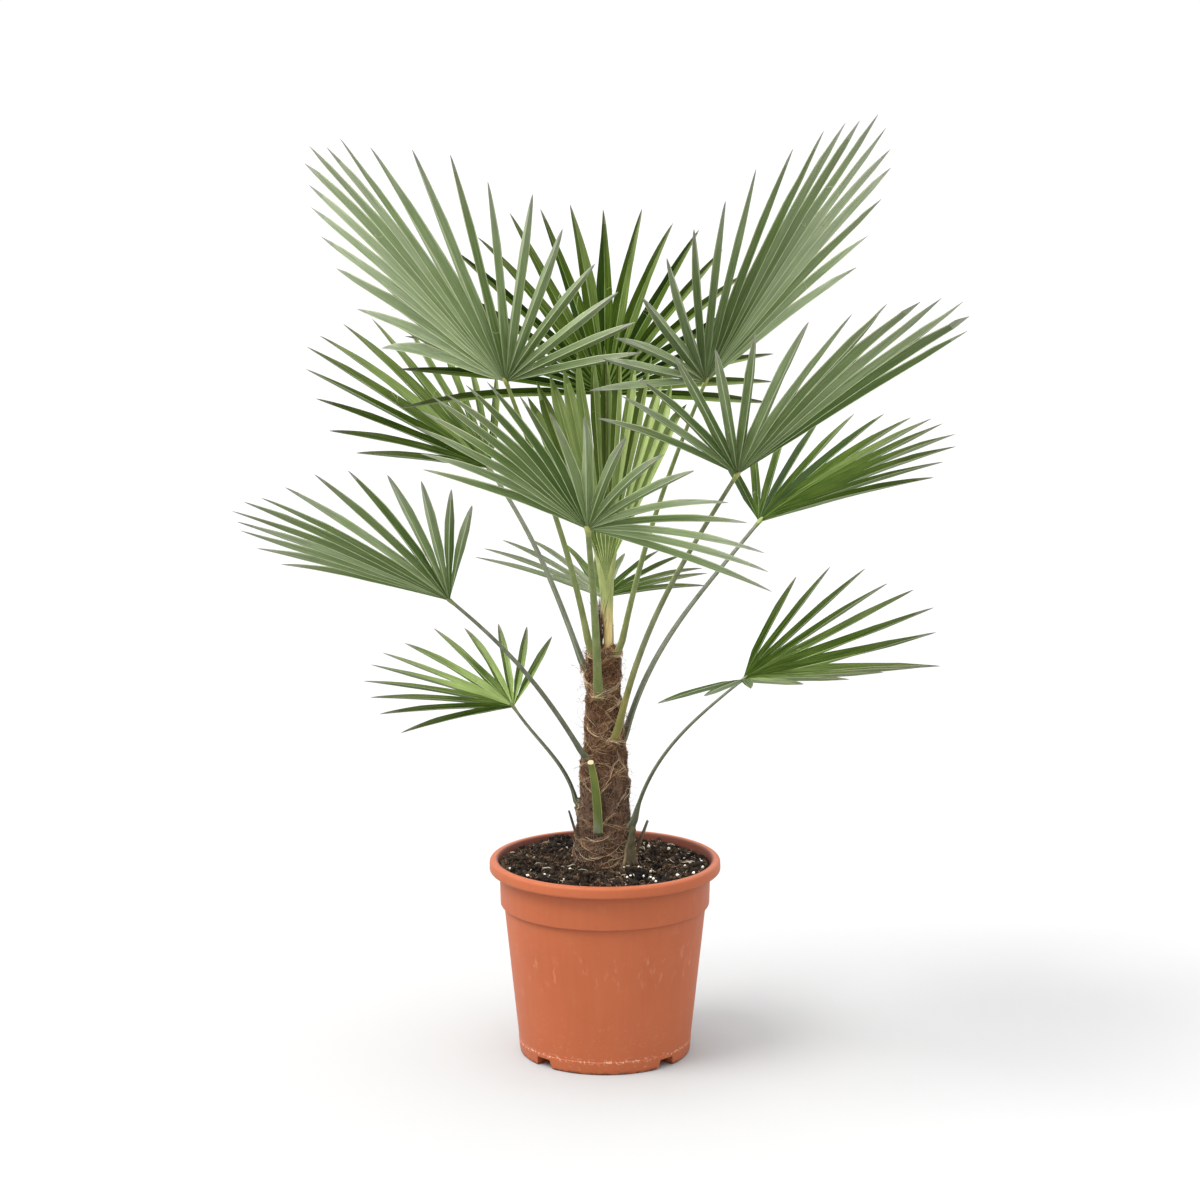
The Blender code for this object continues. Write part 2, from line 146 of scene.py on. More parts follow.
def terracotta_plastic():
    """Matt moulded plastic: faint upright flow streaks, a few dark specks, and pale scuffs low down."""
    made, tree, shader = finish("terracotta_plastic", 0.5, 0.28)
    where = place(tree)
    broad = cloud(tree, where, 9.0, 4.0)
    streaks = cloud(tree, place(tree, (1.0, 1.0, 0.03)), 150.0, 3.0, 0.35, 0.65)
    colour = tint(tree, broad, (0.350, 0.084, 0.029), (0.400, 0.103, 0.038))
    colour = tint(tree, times(tree, streaks, 0.16), colour, (0.43, 0.122, 0.049))
    cells = node(tree, "ShaderNodeTexVoronoi", {"Vector": where, "Scale": 75.0})
    speck = spread(tree, cells.outputs["Distance"], 0.03, 0.06, 1.0, 0.0)
    colour = tint(tree, times(tree, speck, 0.55), colour, (0.20, 0.06, 0.03))
    height = node(tree, "ShaderNodeSeparateXYZ", {0: where}).outputs["Z"]
    low_down = spread(tree, height, 0.006, 0.075, 1.0, 0.0)
    scrape = cloud(tree, place(tree, (1.0, 1.0, 2.2)), 210.0, 5.0, 0.60, 0.72, 0.7)
    colour = tint(tree, times(tree, scrape, low_down), colour, (0.50, 0.26, 0.165))
    ledge = times(tree, spread(tree, height, 0.0105, 0.0130), spread(tree, height, 0.0175, 0.0145))
    grit = cloud(tree, where, 380.0, 4.0, 0.55, 0.61)
    colour = tint(tree, times(tree, times(tree, ledge, grit), 0.75), colour, (0.56, 0.36, 0.26))
    foot = times(tree, spread(tree, height, 0.0040, 0.0010), cloud(tree, where, 150.0, 4.0, 0.42, 0.58))
    colour = tint(tree, times(tree, foot, 0.8), colour, (0.090, 0.030, 0.016))
    halfway = times(tree, spread(tree, height, 0.088, 0.104), spread(tree, height, 0.136, 0.120))
    rubbed = cloud(tree, place(tree, (1.0, 1.0, 0.40)), 150.0, 4.0, 0.60, 0.70)
    colour = tint(tree, times(tree, times(tree, halfway, rubbed), 0.45), colour, (0.50, 0.22, 0.130))
    dusty = cloud(tree, where, 60.0, 5.0, 0.58, 0.80, 0.65)
    colour = tint(tree, times(tree, dusty, 0.22), colour, (0.46, 0.20, 0.115))
    # Painted shade and stain: the inner wall above the soil is darkened, partly a real soil stain and partly the shade
    # inside the rim.
    reach = node(tree, "ShaderNodeVectorMath", {0: place(tree, (1.0, 1.0, 0.0))}, operation="LENGTH").outputs["Value"]
    inside = times(tree, spread(tree, reach, 0.1142, 0.1120), spread(tree, height, 0.1945, 0.1965))
    colour = tint(tree, times(tree, inside, 0.9), colour, (0.120, 0.030, 0.016))
    grain = cloud(tree, where, 900.0, 2.0)
    wave = cloud(tree, place(tree, (1.0, 1.0, 0.25)), 25.0, 2.0)
    normal = relief(tree, grain, 0.00006, 0.6, relief(tree, wave, 0.0006, 0.5))
    feed(tree, shader, colour, normal, spread(tree, broad, 0.0, 1.0, 0.46, 0.58))
    return made


def shade_round(mesh, sharp_degrees=35.0):
    mesh.shade_smooth()
    mesh.set_sharp_from_angle(angle=math.radians(sharp_degrees))


def add_piece(name, mesh, finishes, replaced):
    """A piece that rides with the pot and stands for the named solids."""
    for look in finishes:
        mesh.materials.append(look)
    piece = bpy.data.objects.new(name, mesh)
    bpy.context.scene.collection.objects.link(piece)
    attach(piece, "root")
    if replaced:
        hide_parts(*replaced)
    return piece


def arc(centre, radius, first, last, steps=6):
    """Points of a rounded edge in the pot's profile, as (radius, height)."""
    points = []
    for step in range(steps + 1):
        angle = math.radians(first + (last - first) * step / steps)
        points.append((centre[0] + radius * math.cos(angle), centre[1] + radius * math.sin(angle)))
    return points


def body_radius(height):
    return BASE_RADIUS + (BODY_RADIUS - BASE_RADIUS) * height / STEP_HEIGHT


def pot_profile():
    lip_bottom = POT_HEIGHT - LIP_HEIGHT
    floor = NOTCH_HEIGHT + 2 * WALL
    outside = [(0, 0)]
    outside += arc((BASE_RADIUS - 0.002, 0.002), 0.002, -90, 0, 4)
    outside.append((body_radius(LEDGE_HEIGHT), LEDGE_HEIGHT))
    outside.append((body_radius(LEDGE_HEIGHT) - LEDGE_STEP, LEDGE_HEIGHT + 0.0004))
    outside += [(body_radius(STEP_HEIGHT * part) - LEDGE_STEP, STEP_HEIGHT * part) for part in (0.3, 0.6, 0.985)]
    outside.append((BODY_RADIUS - 0.0007, STEP_HEIGHT))
    outside += arc((COLLAR_RADIUS - 0.0022, STEP_HEIGHT + 0.0016), 0.0014, -80, 0, 4)
    outside.append((COLLAR_RADIUS, lip_bottom - 0.0008))
    outside.append((COLLAR_RADIUS + 0.0008, lip_bottom))
    outside += arc((RIM_RADIUS - 0.0024, lip_bottom + 0.0024), 0.0024, -90, 0, 5)
    outside += arc((RIM_RADIUS - 0.0036, POT_HEIGHT - 0.0034), 0.0034, 0, 90, 7)
    inside = arc((RIM_RADIUS - 0.0066, POT_HEIGHT - 0.0026), 0.0026, 90, 165, 5)
    inside += [(COLLAR_RADIUS - WALL, lip_bottom - 0.002), (COLLAR_RADIUS - WALL - 0.0004, STEP_HEIGHT + 0.0035)]
    inside += [(BODY_RADIUS - 0.0007 - WALL, STEP_HEIGHT - 0.001), (body_radius(floor) - WALL, floor), (0, floor)]
    return outside + inside


def turned(name, profile, sides):
    """Turns a profile of (radius, height) points about the pot's axis; it starts and ends on the axis."""
    work = bmesh.new()
    rings = []
    for radius, height in profile:
        count = sides if radius else 1
        angles = [math.tau * side / count for side in range(count)]
        rings.append([work.verts.new((radius * math.cos(a), radius * math.sin(a), height)) for a in angles])
    for lower, upper in zip(rings, rings[1:]):
        for side in range(sides):
            after = (side + 1) % sides
            corners = [lower[side % len(lower)], lower[after % len(lower)]]
            corners += [upper[after % len(upper)], upper[side % len(upper)]]
            work.faces.new(list(dict.fromkeys(corners)))
    bmesh.ops.recalc_face_normals(work, faces=work.faces)
    mesh = bpy.data.meshes.new(name)
    work.to_mesh(mesh)
    work.free()
    return mesh


def cut_drain_slots(pot):
    slots = bpy.data.collections.new("drain_slots")
    for index in range(NOTCH_COUNT):
        work = bmesh.new()
        bmesh.ops.create_cube(work, size=1.0)
        for vert in work.verts:
            slant = 0.5 if vert.co.z < 0 else 0.34
            across = NOTCH_WIDTH * slant * (1 if vert.co.y > 0 else -1)
            up = NOTCH_HEIGHT if vert.co.z > 0 else -NOTCH_HEIGHT
            vert.co = Vector((BASE_RADIUS + NOTCH_DEPTH * 2 * vert.co.x, across, up))
        work.transform(Matrix.Rotation(math.radians(NOTCH_FIRST + 360 / NOTCH_COUNT * index), 4, "Z"))
        mesh = bpy.data.meshes.new("drain_slot")
        work.to_mesh(mesh)
        work.free()
        slots.objects.link(bpy.data.objects.new("drain_slot", mesh))
    cut = pot.modifiers.new("slots", "BOOLEAN")
    cut.operation = "DIFFERENCE"
    cut.solver = "EXACT"
    cut.operand_type = "COLLECTION"
    cut.collection = slots
    bpy.context.view_layer.update()
    graph = bpy.context.evaluated_depsgraph_get()
    cut_mesh = bpy.data.meshes.new_from_object(pot.evaluated_get(graph), depsgraph=graph)
    pot.modifiers.remove(cut)
    pot.data = cut_mesh
    for slot in list(slots.objects):
        bpy.data.objects.remove(slot)
    bpy.data.collections.remove(slots)


pot = add_piece("nursery_pot", turned("nursery_pot", pot_profile(), POT_SIDES), [terracotta_plastic()], ["pot"])
cut_drain_slots(pot)
shade_round(pot.data, 30)


# The soil is a peat and bark potting mix with white perlite, filled by hand to just below the rim and drawn up
# round the trunk. It is loose and fluffy, and chips, splinters and fine roots lie on it.

SOIL_HEIGHT = 0.199
SOIL_CROWN = 0.202
SOIL_CROWN_RADIUS = 0.045
SOIL_RADIUS = COLLAR_RADIUS - WALL + 0.0014
SOIL_RINGS = 90
SOIL_SPOKES = 300
CRUMBS = 4200
HEAPED_CRUMBS = 520
LARGE_GRAINS = 44
SMALL_GRAINS = 130
CHIPS = 230
SPLINTERS = 46
ROOTLETS = 420
LONG_ROOTS = 24


def soil_level(x, y):
    """Height of the lumpy soil at a place in the pot."""
    reach = math.hypot(x, y)
    mound = SOIL_HEIGHT + (SOIL_CROWN - SOIL_HEIGHT) * max(0.0, 1 - max(0.0, reach - SOIL_CROWN_RADIUS) / 0.05)
    lumps = 0.0040 * noise.fractal(Vector((x * 34, y * 34, 0.3)), 0.9, 2.1, 3)
    crumble = 0.0022 * noise.fractal(Vector((x * 150, y * 150, 4.2)), 0.8, 2.2, 4)
    hollow = -0.0045 * max(0.0, noise.noise(Vector((x * 42, y * 42, 7.7))) - 0.12)
    edge = max(0.0, 1 - (SOIL_RADIUS - reach) / 0.006)
    mound += 0.0034 * min(1.0, max(0.0, (reach - 0.080) / 0.020)) * (0.5 - 0.5 * x / max(reach, 0.001))
    heaped = 0.0070 * (0.75 + 0.6 * noise.noise(Vector((x * 90, y * 90, 2.0))))
    mound += heaped * max(0.0, 1 - max(0.0, reach - 0.025) / 0.013)
    return mound + (lumps + crumble + hollow * 4) * (1 - 0.6 * edge) - 0.001 * edge


def soil_mesh():
    mesh = bpy.data.meshes.new("potting_mix")
    points = [(0.0, 0.0, soil_level(0, 0))]
    for ring in range(1, SOIL_RINGS + 1):
        reach = SOIL_RADIUS * ring / SOIL_RINGS
        for spoke in range(SOIL_SPOKES):
            angle = math.tau * spoke / SOIL_SPOKES
            x, y = reach * math.cos(angle), reach * math.sin(angle)
            points.append((x, y, soil_level(x, y)))
    faces = [(0, 1 + s, 1 + (s + 1) % SOIL_SPOKES) for s in range(SOIL_SPOKES)]
    for ring in range(SOIL_RINGS - 1):
        inner, outer = 1 + ring * SOIL_SPOKES, 1 + (ring + 1) * SOIL_SPOKES
        for s in range(SOIL_SPOKES):
            after = (s + 1) % SOIL_SPOKES
            faces.append((inner + s, outer + s, outer + after, inner + after))
    rim = 1 + (SOIL_RINGS - 1) * SOIL_SPOKES
    floor = NOTCH_HEIGHT + 3 * WALL
    neck = (COLLAR_RADIUS - WALL - 0.0012, POT_HEIGHT - LIP_HEIGHT - 0.002)
    for reach, height in (neck, (body_radius(floor) - 2 * WALL, floor)):
        below = len(points)
        for s in range(SOIL_SPOKES):
            angle = math.tau * s / SOIL_SPOKES
            after = (s + 1) % SOIL_SPOKES
            points.append((reach * math.cos(angle), reach * math.sin(angle), height))
            faces.append((rim + s, below + s, below + after, rim + after))
        rim = below
    points.append((0.0, 0.0, floor))
    faces += [(rim + s, len(points) - 1, rim + (s + 1) % SOIL_SPOKES) for s in range(SOIL_SPOKES)]
    mesh.from_pydata(points, [], faces)
    mesh.shade_smooth()
    return mesh


def peat():
    """Nearly black damp peat with browner fibres and paler dust."""
    made, tree, shader = finish("damp_peat", 0.95, 0.15)
    where = place(tree)
    colour = tint(tree, cloud(tree, where, 60.0, 6.0, 0.40, 0.62), (0.006, 0.004, 0.003), (0.034, 0.021, 0.013))
    colour = tint(tree, cloud(tree, where, 420.0, 4.0, 0.60, 0.75), colour, (0.11, 0.070, 0.042))
    across = node(tree, "ShaderNodeSeparateXYZ", {0: where}).outputs["X"]
    colour = tint(tree, times(tree, spread(tree, across, -0.035, -0.100), 0.5), colour, (0.105, 0.066, 0.038))
    # Painted shade: near-black patches stand for the shade in the soil's hollows.
    colour = tint(tree, cloud(tree, where, 26.0, 3.0, 0.52, 0.62), colour, (0.004, 0.003, 0.002))
    normal = relief(tree, cloud(tree, where, 520.0, 6.0, 0.2, 0.8, 0.7), 0.0014)
    feed(tree, shader, colour, normal)
    return made


def mineral(name, dark, light, scale, hollows=0.0):
    """A plain rough crumb with a little mottling, darker where the soil lies deep: painted shade of its hollows."""
    made, tree, shader = finish(name, 0.9, 0.2)
    where = place(tree)
    colour = tint(tree, cloud(tree, where, scale, 4.0), dark, light)
    if hollows:
        # Painted shade: the crumbs darken in the same patches as the peat's painted hollow shade.
        deep = times(tree, cloud(tree, where, 26.0, 3.0, 0.50, 0.62), hollows)
        colour = tint(tree, deep, colour, tuple(c * 0.2 for c in dark))
    feed(tree, shader, colour)
    tree.links.new(relief(tree, cloud(tree, where, scale * 2, 5.0), 0.0004), shader.inputs["Normal"])
    return made


class Heap:
    """Collects the points and faces of many small things into one mesh."""

    def __init__(self):
        self.points = []
        self.faces = []
        self.marks = []

    def add(self, points, faces, mark=0):
        start = len(self.points)
        self.points += [tuple(point) for point in points]
        self.faces += [tuple(start + corner for corner in face) for face in faces]
        self.marks += [mark] * len(faces)

    def mesh(self, name, smooth=True):
        mesh = bpy.data.meshes.new(name)
        mesh.from_pydata(self.points, [], self.faces)
        mesh.polygons.foreach_set("material_index", self.marks)
        if smooth:
            mesh.shade_smooth()
        return mesh


def ball_form():
    work = bmesh.new()
    bmesh.ops.create_icosphere(work, subdivisions=1, radius=1.0)
    points = [vert.co.copy() for vert in work.verts]
    faces = [[vert.index for vert in face.verts] for face in work.faces]
    work.free()
    return points, faces


BALL_POINTS, BALL_FACES = ball_form()


def crumb(heap, rng, centre, size, mark, flat=0.7, bump=0.23):
    """One rough lump, turned and squashed at random."""
    turn = Matrix.Rotation(rng.uniform(0, math.tau), 3, "Z") @ Matrix.Rotation(rng.uniform(0, math.pi), 3, "X")
    squash = Vector((rng.uniform(0.7, 1.3), rng.uniform(0.7, 1.3), rng.uniform(flat, 1.1)))
    points = []
    for point in BALL_POINTS:
        rough = 0.95 + rng.uniform(-bump, bump)
        points.append(Vector(centre) + turn @ (point * squash) * size * rough)
    heap.add(points, BALL_FACES, mark)


def ring_place(rng, inner, outer):
    reach = math.sqrt(rng.uniform(inner**2, outer**2))
    angle = rng.uniform(0, math.tau)
    return reach * math.cos(angle), reach * math.sin(angle)


def strand(heap, path, radii, mark=0, sides=4):
    """A thin round strand along a path, with pointed ends where a radius is small."""
    points = []
    side_way = Vector((0.3, 0.9, 0.2))
    count = len(path)
    for index, place_on in enumerate(path):
        before, after = path[max(0, index - 1)], path[min(count - 1, index + 1)]
        way = (after - before).normalized()
        side_way = (side_way - way * side_way.dot(way)).normalized()
        other = way.cross(side_way)
        for side in range(sides):
            angle = math.tau * side / sides
            points.append(place_on + (side_way * math.cos(angle) + other * math.sin(angle)) * radii[index])
    faces = []
    for index in range(count - 1):
        for side in range(sides):
            after = (side + 1) % sides
            a, b = index * sides, (index + 1) * sides
            faces.append((a + side, a + after, b + after, b + side))
    faces.append(tuple(range(sides))[::-1])
    faces.append(tuple((count - 1) * sides + side for side in range(sides)))
    heap.add(points, faces, mark)


def soil_crumbs():
    rng = random.Random(11)
    heap = Heap()
    for _ in range(CRUMBS):
        x, y = ring_place(rng, 0.026, SOIL_RADIUS - 0.003)
        size = rng.choice((0.0006, 0.0009, 0.0012, 0.0016, 0.0024, 0.0034))
        crumb(heap, rng, (x, y, soil_level(x, y) + size * 0.3), size, rng.choice((0, 0, 0, 0, 1)))
    for _ in range(HEAPED_CRUMBS):
        x, y = ring_place(rng, 0.0245, 0.036)
        size = rng.choice((0.0006, 0.0009, 0.0012, 0.0018))
        crumb(heap, rng, (x, y, soil_level(x, y) + size * 0.4), size, rng.choice((0, 0, 1)))
    return heap.mesh("soil_crumbs", False)


def perlite_grains():
    """White grains, more of them on the right: a few large round ones and many small dusty ones."""
    rng = random.Random(12)
    heap = Heap()
    for index in range(LARGE_GRAINS + SMALL_GRAINS):
        large = index < LARGE_GRAINS
        x, y = ring_place(rng, 0.034, SOIL_RADIUS - 0.004)
        if rng.random() < 0.45 and x < 0:
            x = -x
        size = rng.uniform(0.0015, 0.0022) if large else rng.uniform(0.0005, 0.0010)
        crumb(heap, rng, (x, y, soil_level(x, y) + 0.0012 + size * 0.7), size, 0 if large else 1, 0.85, 0.08)
    return heap.mesh("perlite_grains")


def splinters():
    """Pale splinters of wood and stem, each bent once."""
    rng = random.Random(15)
    heap = Heap()
    for _ in range(SPLINTERS):
        x, y = ring_place(rng, 0.036, SOIL_RADIUS - 0.008)
        heading = rng.uniform(0, math.tau)
        half = rng.uniform(0.0025, 0.0080)
        path = []
        for share, up in ((-1, 0.0), (-0.3, 0.6), (0.4, 1.0), (1, 0.4)):
            heading += rng.uniform(-0.25, 0.25)
            a, b = x + share * half * math.cos(heading), y + share * half * math.sin(heading)
            path.append(Vector((a, b, soil_level(x, y) + 0.0016 + 0.0016 * up)))
        thick = rng.uniform(0.0003, 0.0007)
        strand(heap, path, [thick * 0.5, thick, thick, thick * 0.4], 0, 5)
    return heap.mesh("splinters")


def bark_chips():
    rng = random.Random(13)
    heap = Heap()
    for _ in range(CHIPS):
        x, y = ring_place(rng, 0.030, SOIL_RADIUS - 0.008)
        long, wide = rng.uniform(0.003, 0.009), rng.uniform(0.0010, 0.0028)
        turn = Matrix.Rotation(rng.uniform(0, math.tau), 3, "Z")
        turn @= Matrix.Rotation(rng.uniform(-0.5, 0.5), 3, "X") @ Matrix.Rotation(rng.uniform(-0.4, 0.4), 3, "Y")
        centre = Vector((x, y, soil_level(x, y) + 0.0012))
        points = []
        for up in (-1, 1):
            for along, across in ((-1, -0.6), (0.1, -1), (1, -0.4), (0.8, 0.6), (-0.2, 1), (-0.9, 0.7)):
                local = Vector((along * long / 2, across * wide / 2, up * 0.0004 * rng.uniform(0.6, 1.5)))
                points.append(centre + turn @ local)
        faces = [tuple(range(6))[::-1], tuple(range(6, 12))]
        faces += [(i, (i + 1) % 6, 6 + (i + 1) % 6, 6 + i) for i in range(6)]
        heap.add(points, faces, rng.choice((0, 0, 0, 1)))
    return heap.mesh("bark_chips", False)


def surface_roots():
    """Hair roots tangled through the mix, and stouter ones that run out from the trunk's foot into it."""
    rng = random.Random(14)
    heap = Heap()
    for index in range(ROOTLETS + LONG_ROOTS):
        long = index >= ROOTLETS
        x, y = ring_place(rng, 0.034, 0.040 if long else SOIL_RADIUS - 0.006)
        heading = math.atan2(y, x) + rng.uniform(-0.6, 0.6) if long else rng.uniform(0, math.tau)
        stride = rng.uniform(0.0018, 0.0034) if long else rng.uniform(0.0006, 0.0016)
        turn = rng.uniform(-0.35, 0.35)
        path = []
        for step in range(12):
            up = 0.0012 + 0.0010 * math.sin(step * 0.9 + index) + (0.007 * max(0, 1 - step / 3) ** 2 if long else 0)
            path.append(Vector((x, y, soil_level(x, y) + up)))
            heading += turn + rng.uniform(-0.3, 0.3)
            x += stride * math.cos(heading)
            y += stride * math.sin(heading)
            if math.hypot(x, y) > SOIL_RADIUS - 0.003:
                heading += 1.6
        thick = rng.uniform(0.0004, 0.0010) if long else rng.uniform(0.00012, 0.00028)
        strand(heap, path, [thick * (1 - 0.06 * step) for step in range(12)], 1 if long else rng.choice((0, 0, 1)), 4)
    return heap.mesh("surface_roots")


dark_crumb = mineral("dark_crumb", (0.007, 0.005, 0.004), (0.036, 0.022, 0.013), 300.0, 0.8)
brown_crumb = mineral("brown_crumb", (0.035, 0.020, 0.011), (0.110, 0.066, 0.036), 300.0, 0.8)
white_grain = mineral("white_perlite", (0.78, 0.74, 0.65), (0.92, 0.89, 0.81), 500.0)
dusty_grain = mineral("dusty_perlite", (0.30, 0.26, 0.20), (0.60, 0.54, 0.45), 700.0)
bark_brown = mineral("bark_brown", (0.040, 0.021, 0.012), (0.120, 0.070, 0.040), 400.0)
bark_pale = mineral("bark_pale", (0.17, 0.11, 0.065), (0.30, 0.21, 0.13), 400.0)
root_tan = mineral("root_tan", (0.20, 0.125, 0.062), (0.40, 0.27, 0.15), 300.0)
root_brown = mineral("root_brown", (0.070, 0.040, 0.022), (0.170, 0.105, 0.060), 300.0)
splinter_pale = mineral("splinter_pale", (0.36, 0.30, 0.21), (0.62, 0.54, 0.41), 400.0)
add_piece("potting_mix", soil_mesh(), [peat()], ["soil"])
add_piece("soil_crumbs", soil_crumbs(), [dark_crumb, brown_crumb], [])
add_piece("perlite_grains", perlite_grains(), [white_grain, dusty_grain], [])
add_piece("bark_chips", bark_chips(), [bark_brown, bark_pale], [])
add_piece("splinters", splinters(), [splinter_pale], [])
add_piece("surface_roots", surface_roots(), [root_tan, root_brown], [])


# The trunk is a young palm stem wrapped in the brown fibre of its old leaf sheaths. Each sheath ends in a torn
# edge that slants round the stem. Its threads are felted by growth and pulled across the feet of the stalks.

TRUNK_FOOT = SOIL_CROWN + 0.0003
TRUNK_GIRTH = (
    (0.000, 0.0345),
    (0.010, 0.0318),
    (0.025, 0.0290),
    (0.060, 0.0268),
    (0.083, 0.0256),
    (0.105, 0.0230),
    (0.135, 0.0203),
    (0.171, 0.0176),
    (0.209, 0.0168),
    (0.222, 0.0158),
    (0.227, 0.0125),
)
TRUNK_RISE = TRUNK_GIRTH[-1][0]
TRUNK_TOP = TRUNK_FOOT + TRUNK_RISE
TRUNK_LEAN = Vector((-0.002, 0.003))
MAT_ROWS = 290
MAT_COLUMNS = 210
MAT_DEPTH = 0.0022
EDGE_DEPTH = 0.0017
EDGE_FALL = 0.028
EDGE_TAPER = 0.022
# The way each torn sheath faces, in degrees, and how high it stands there
SHEATHS = (
    (231, 0.424), (325, 0.426), (70, 0.420), (151, 0.401), (256, 0.384), (112, 0.365), (300, 0.336),
    (44, 0.320), (225, 0.314), (160, 0.259), (258, 0.250), (335, 0.245), (200, 0.230), (355, 0.217),
)
FELT_THREADS = 2300
CROSSING_BUNDLES = 95
FOOT_ARCS = 60
LOOSE_HAIRS = 620
COLLAR_CURLS = 420


def trunk_centre(height):
    share = (height - TRUNK_FOOT) / TRUNK_RISE
    return Vector((TRUNK_LEAN.x * share, TRUNK_LEAN.y * share, height))


def trunk_radius(height):
    above = height - TRUNK_FOOT
    for (low, wide), (high, narrow) in zip(TRUNK_GIRTH, TRUNK_GIRTH[1:]):
        if above <= high:
            return wide + (narrow - wide) * (above - low) / (high - low)
    return TRUNK_GIRTH[-1][1]


def sheath_edge(sheath, angle):
    """Height of one sheath's torn edge at this angle round the stem."""
    facing, height = SHEATHS[sheath]
    fall = EDGE_FALL * (1 - math.cos(angle - math.radians(facing))) / 2
    x, y = math.cos(angle), math.sin(angle)
    ragged = 0.0045 * noise.noise(Vector((x * 2.2, y * 2.2, sheath * 3.1)))
    ragged += 0.0014 * noise.noise(Vector((x * 15, y * 15, sheath * 3.1)))
    return height - fall + ragged


EDGES_ROUND = [
    [sheath_edge(sheath, math.tau * column / MAT_COLUMNS) for sheath in range(len(SHEATHS))]
    for column in range(MAT_COLUMNS)
]


def mat_relief(angle, height):
    """How far the fibre mat stands out or in: sheath edges that overlap, crossing cords and felt."""
    lip = 0.0
    for edge in EDGES_ROUND[int(angle / math.tau * MAT_COLUMNS + 0.5) % MAT_COLUMNS]:
        if 0 <= edge - height < EDGE_TAPER:
            lip += 1 - (edge - height) / EDGE_TAPER
    x, y = math.cos(angle), math.sin(angle)
    folds = noise.fractal(Vector((x * 1.6, y * 1.6, height * 30)), 0.9, 2.0, 2)
    felt = noise.fractal(Vector((x * 8, y * 8, height * 300)), 0.6, 2.2, 4)
    return EDGE_DEPTH * (min(lip, 1.5) - 0.7) + MAT_DEPTH * (0.4 * folds + 0.5 * felt)


def trunk_point(angle, height, lift=0.0):
    above = height - TRUNK_FOOT
    settle = min(1.0, 0.35 + above / 0.02, 0.4 + (TRUNK_RISE - above) / 0.02)
    radius = trunk_radius(height) + mat_relief(angle, height) * max(0.0, settle) + lift
    return trunk_centre(height) + Vector((math.cos(angle) * radius, math.sin(angle) * radius, 0))


def trunk_mesh():
    points, faces = [], []
    for row in range(MAT_ROWS + 1):
        height = TRUNK_FOOT - 0.004 + (TRUNK_RISE + 0.004) * row / MAT_ROWS
        torn = max(0.0, (height - TRUNK_TOP + 0.016) / 0.016)
        for column in range(MAT_COLUMNS):
            angle = math.tau * column / MAT_COLUMNS
            point = trunk_point(angle, max(height, TRUNK_FOOT))
            rag = noise.fractal(Vector((math.cos(angle) * 2.5, math.sin(angle) * 2.5, 8.0)), 0.6, 2.4, 3)
            point.z = height + torn * 0.0045 * rag
            points.append(tuple(point))
    for row in range(MAT_ROWS):
        for column in range(MAT_COLUMNS):
            after = (column + 1) % MAT_COLUMNS
            a, b = row * MAT_COLUMNS, (row + 1) * MAT_COLUMNS
            faces.append((a + column, a + after, b + after, b + column))
    points.append(tuple(trunk_centre(TRUNK_TOP - 0.004)))
    head = MAT_ROWS * MAT_COLUMNS
    faces.append(tuple(range(MAT_COLUMNS))[::-1])
    faces += [(head + column, head + (column + 1) % MAT_COLUMNS, len(points) - 1) for column in range(MAT_COLUMNS)]
    mesh = bpy.data.meshes.new("fibre_mat")
    mesh.from_pydata(points, [], faces)
    mesh.shade_smooth()
    return mesh


def felted_fibre():
    """Felt in tangled threads, nearly black in its hollows as painted shade, foxy brown near the top and greyer below.
    """
    made, tree, shader = finish("felted_fibre", 0.92, 0.1)
    where = place(tree)
    height = node(tree, "ShaderNodeSeparateXYZ", {0: where}).outputs["Z"]
    upper = spread(tree, height, 0.27, 0.40)
    dark = tint(tree, upper, (0.022, 0.013, 0.009), (0.024, 0.009, 0.005))
    light = tint(tree, upper, (0.170, 0.102, 0.068), (0.215, 0.092, 0.043))
    colour = tint(tree, cloud(tree, where, 95.0, 6.0, 0.36, 0.62, 0.65), dark, light)
    # Painted shade: nearly black patches stand for the shade in the felt's hollows.
    colour = tint(tree, times(tree, cloud(tree, where, 250.0, 3.0, 0.55, 0.68), 0.7), colour, (0.014, 0.007, 0.004))
    damp = times(tree, spread(tree, height, 0.226, 0.208), 0.75)
    colour = tint(tree, damp, colour, (0.020, 0.012, 0.008))
    slanted = node(tree, "ShaderNodeMapping", {"Vector": where, "Rotation": (0.6, 0.5, 0.4), "Scale": (1, 1, 0.16)})
    threads = cloud(tree, slanted.outputs["Vector"], 750.0, 4.0, 0.52, 0.64)
    crossing = node(tree, "ShaderNodeMapping", {"Vector": where, "Rotation": (-0.6, -0.5, 0.2), "Scale": (1, 1, 0.16)})
    others = cloud(tree, crossing.outputs["Vector"], 650.0, 4.0, 0.53, 0.66)
    colour = tint(tree, times(tree, threads, 0.6), colour, (0.34, 0.200, 0.110))
    colour = tint(tree, times(tree, others, 0.5), colour, (0.25, 0.145, 0.082))
    normal = relief(tree, threads, 0.0009, 1.0, relief(tree, others, 0.0009))
    feed(tree, shader, colour, normal)
    return made


def fibre_thread(name, dark, light):
    made, tree, shader = finish(name, 0.8, 0.2)
    where = place(tree)
    feed(tree, shader, tint(tree, cloud(tree, where, 260.0, 3.0), dark, light))
    return made


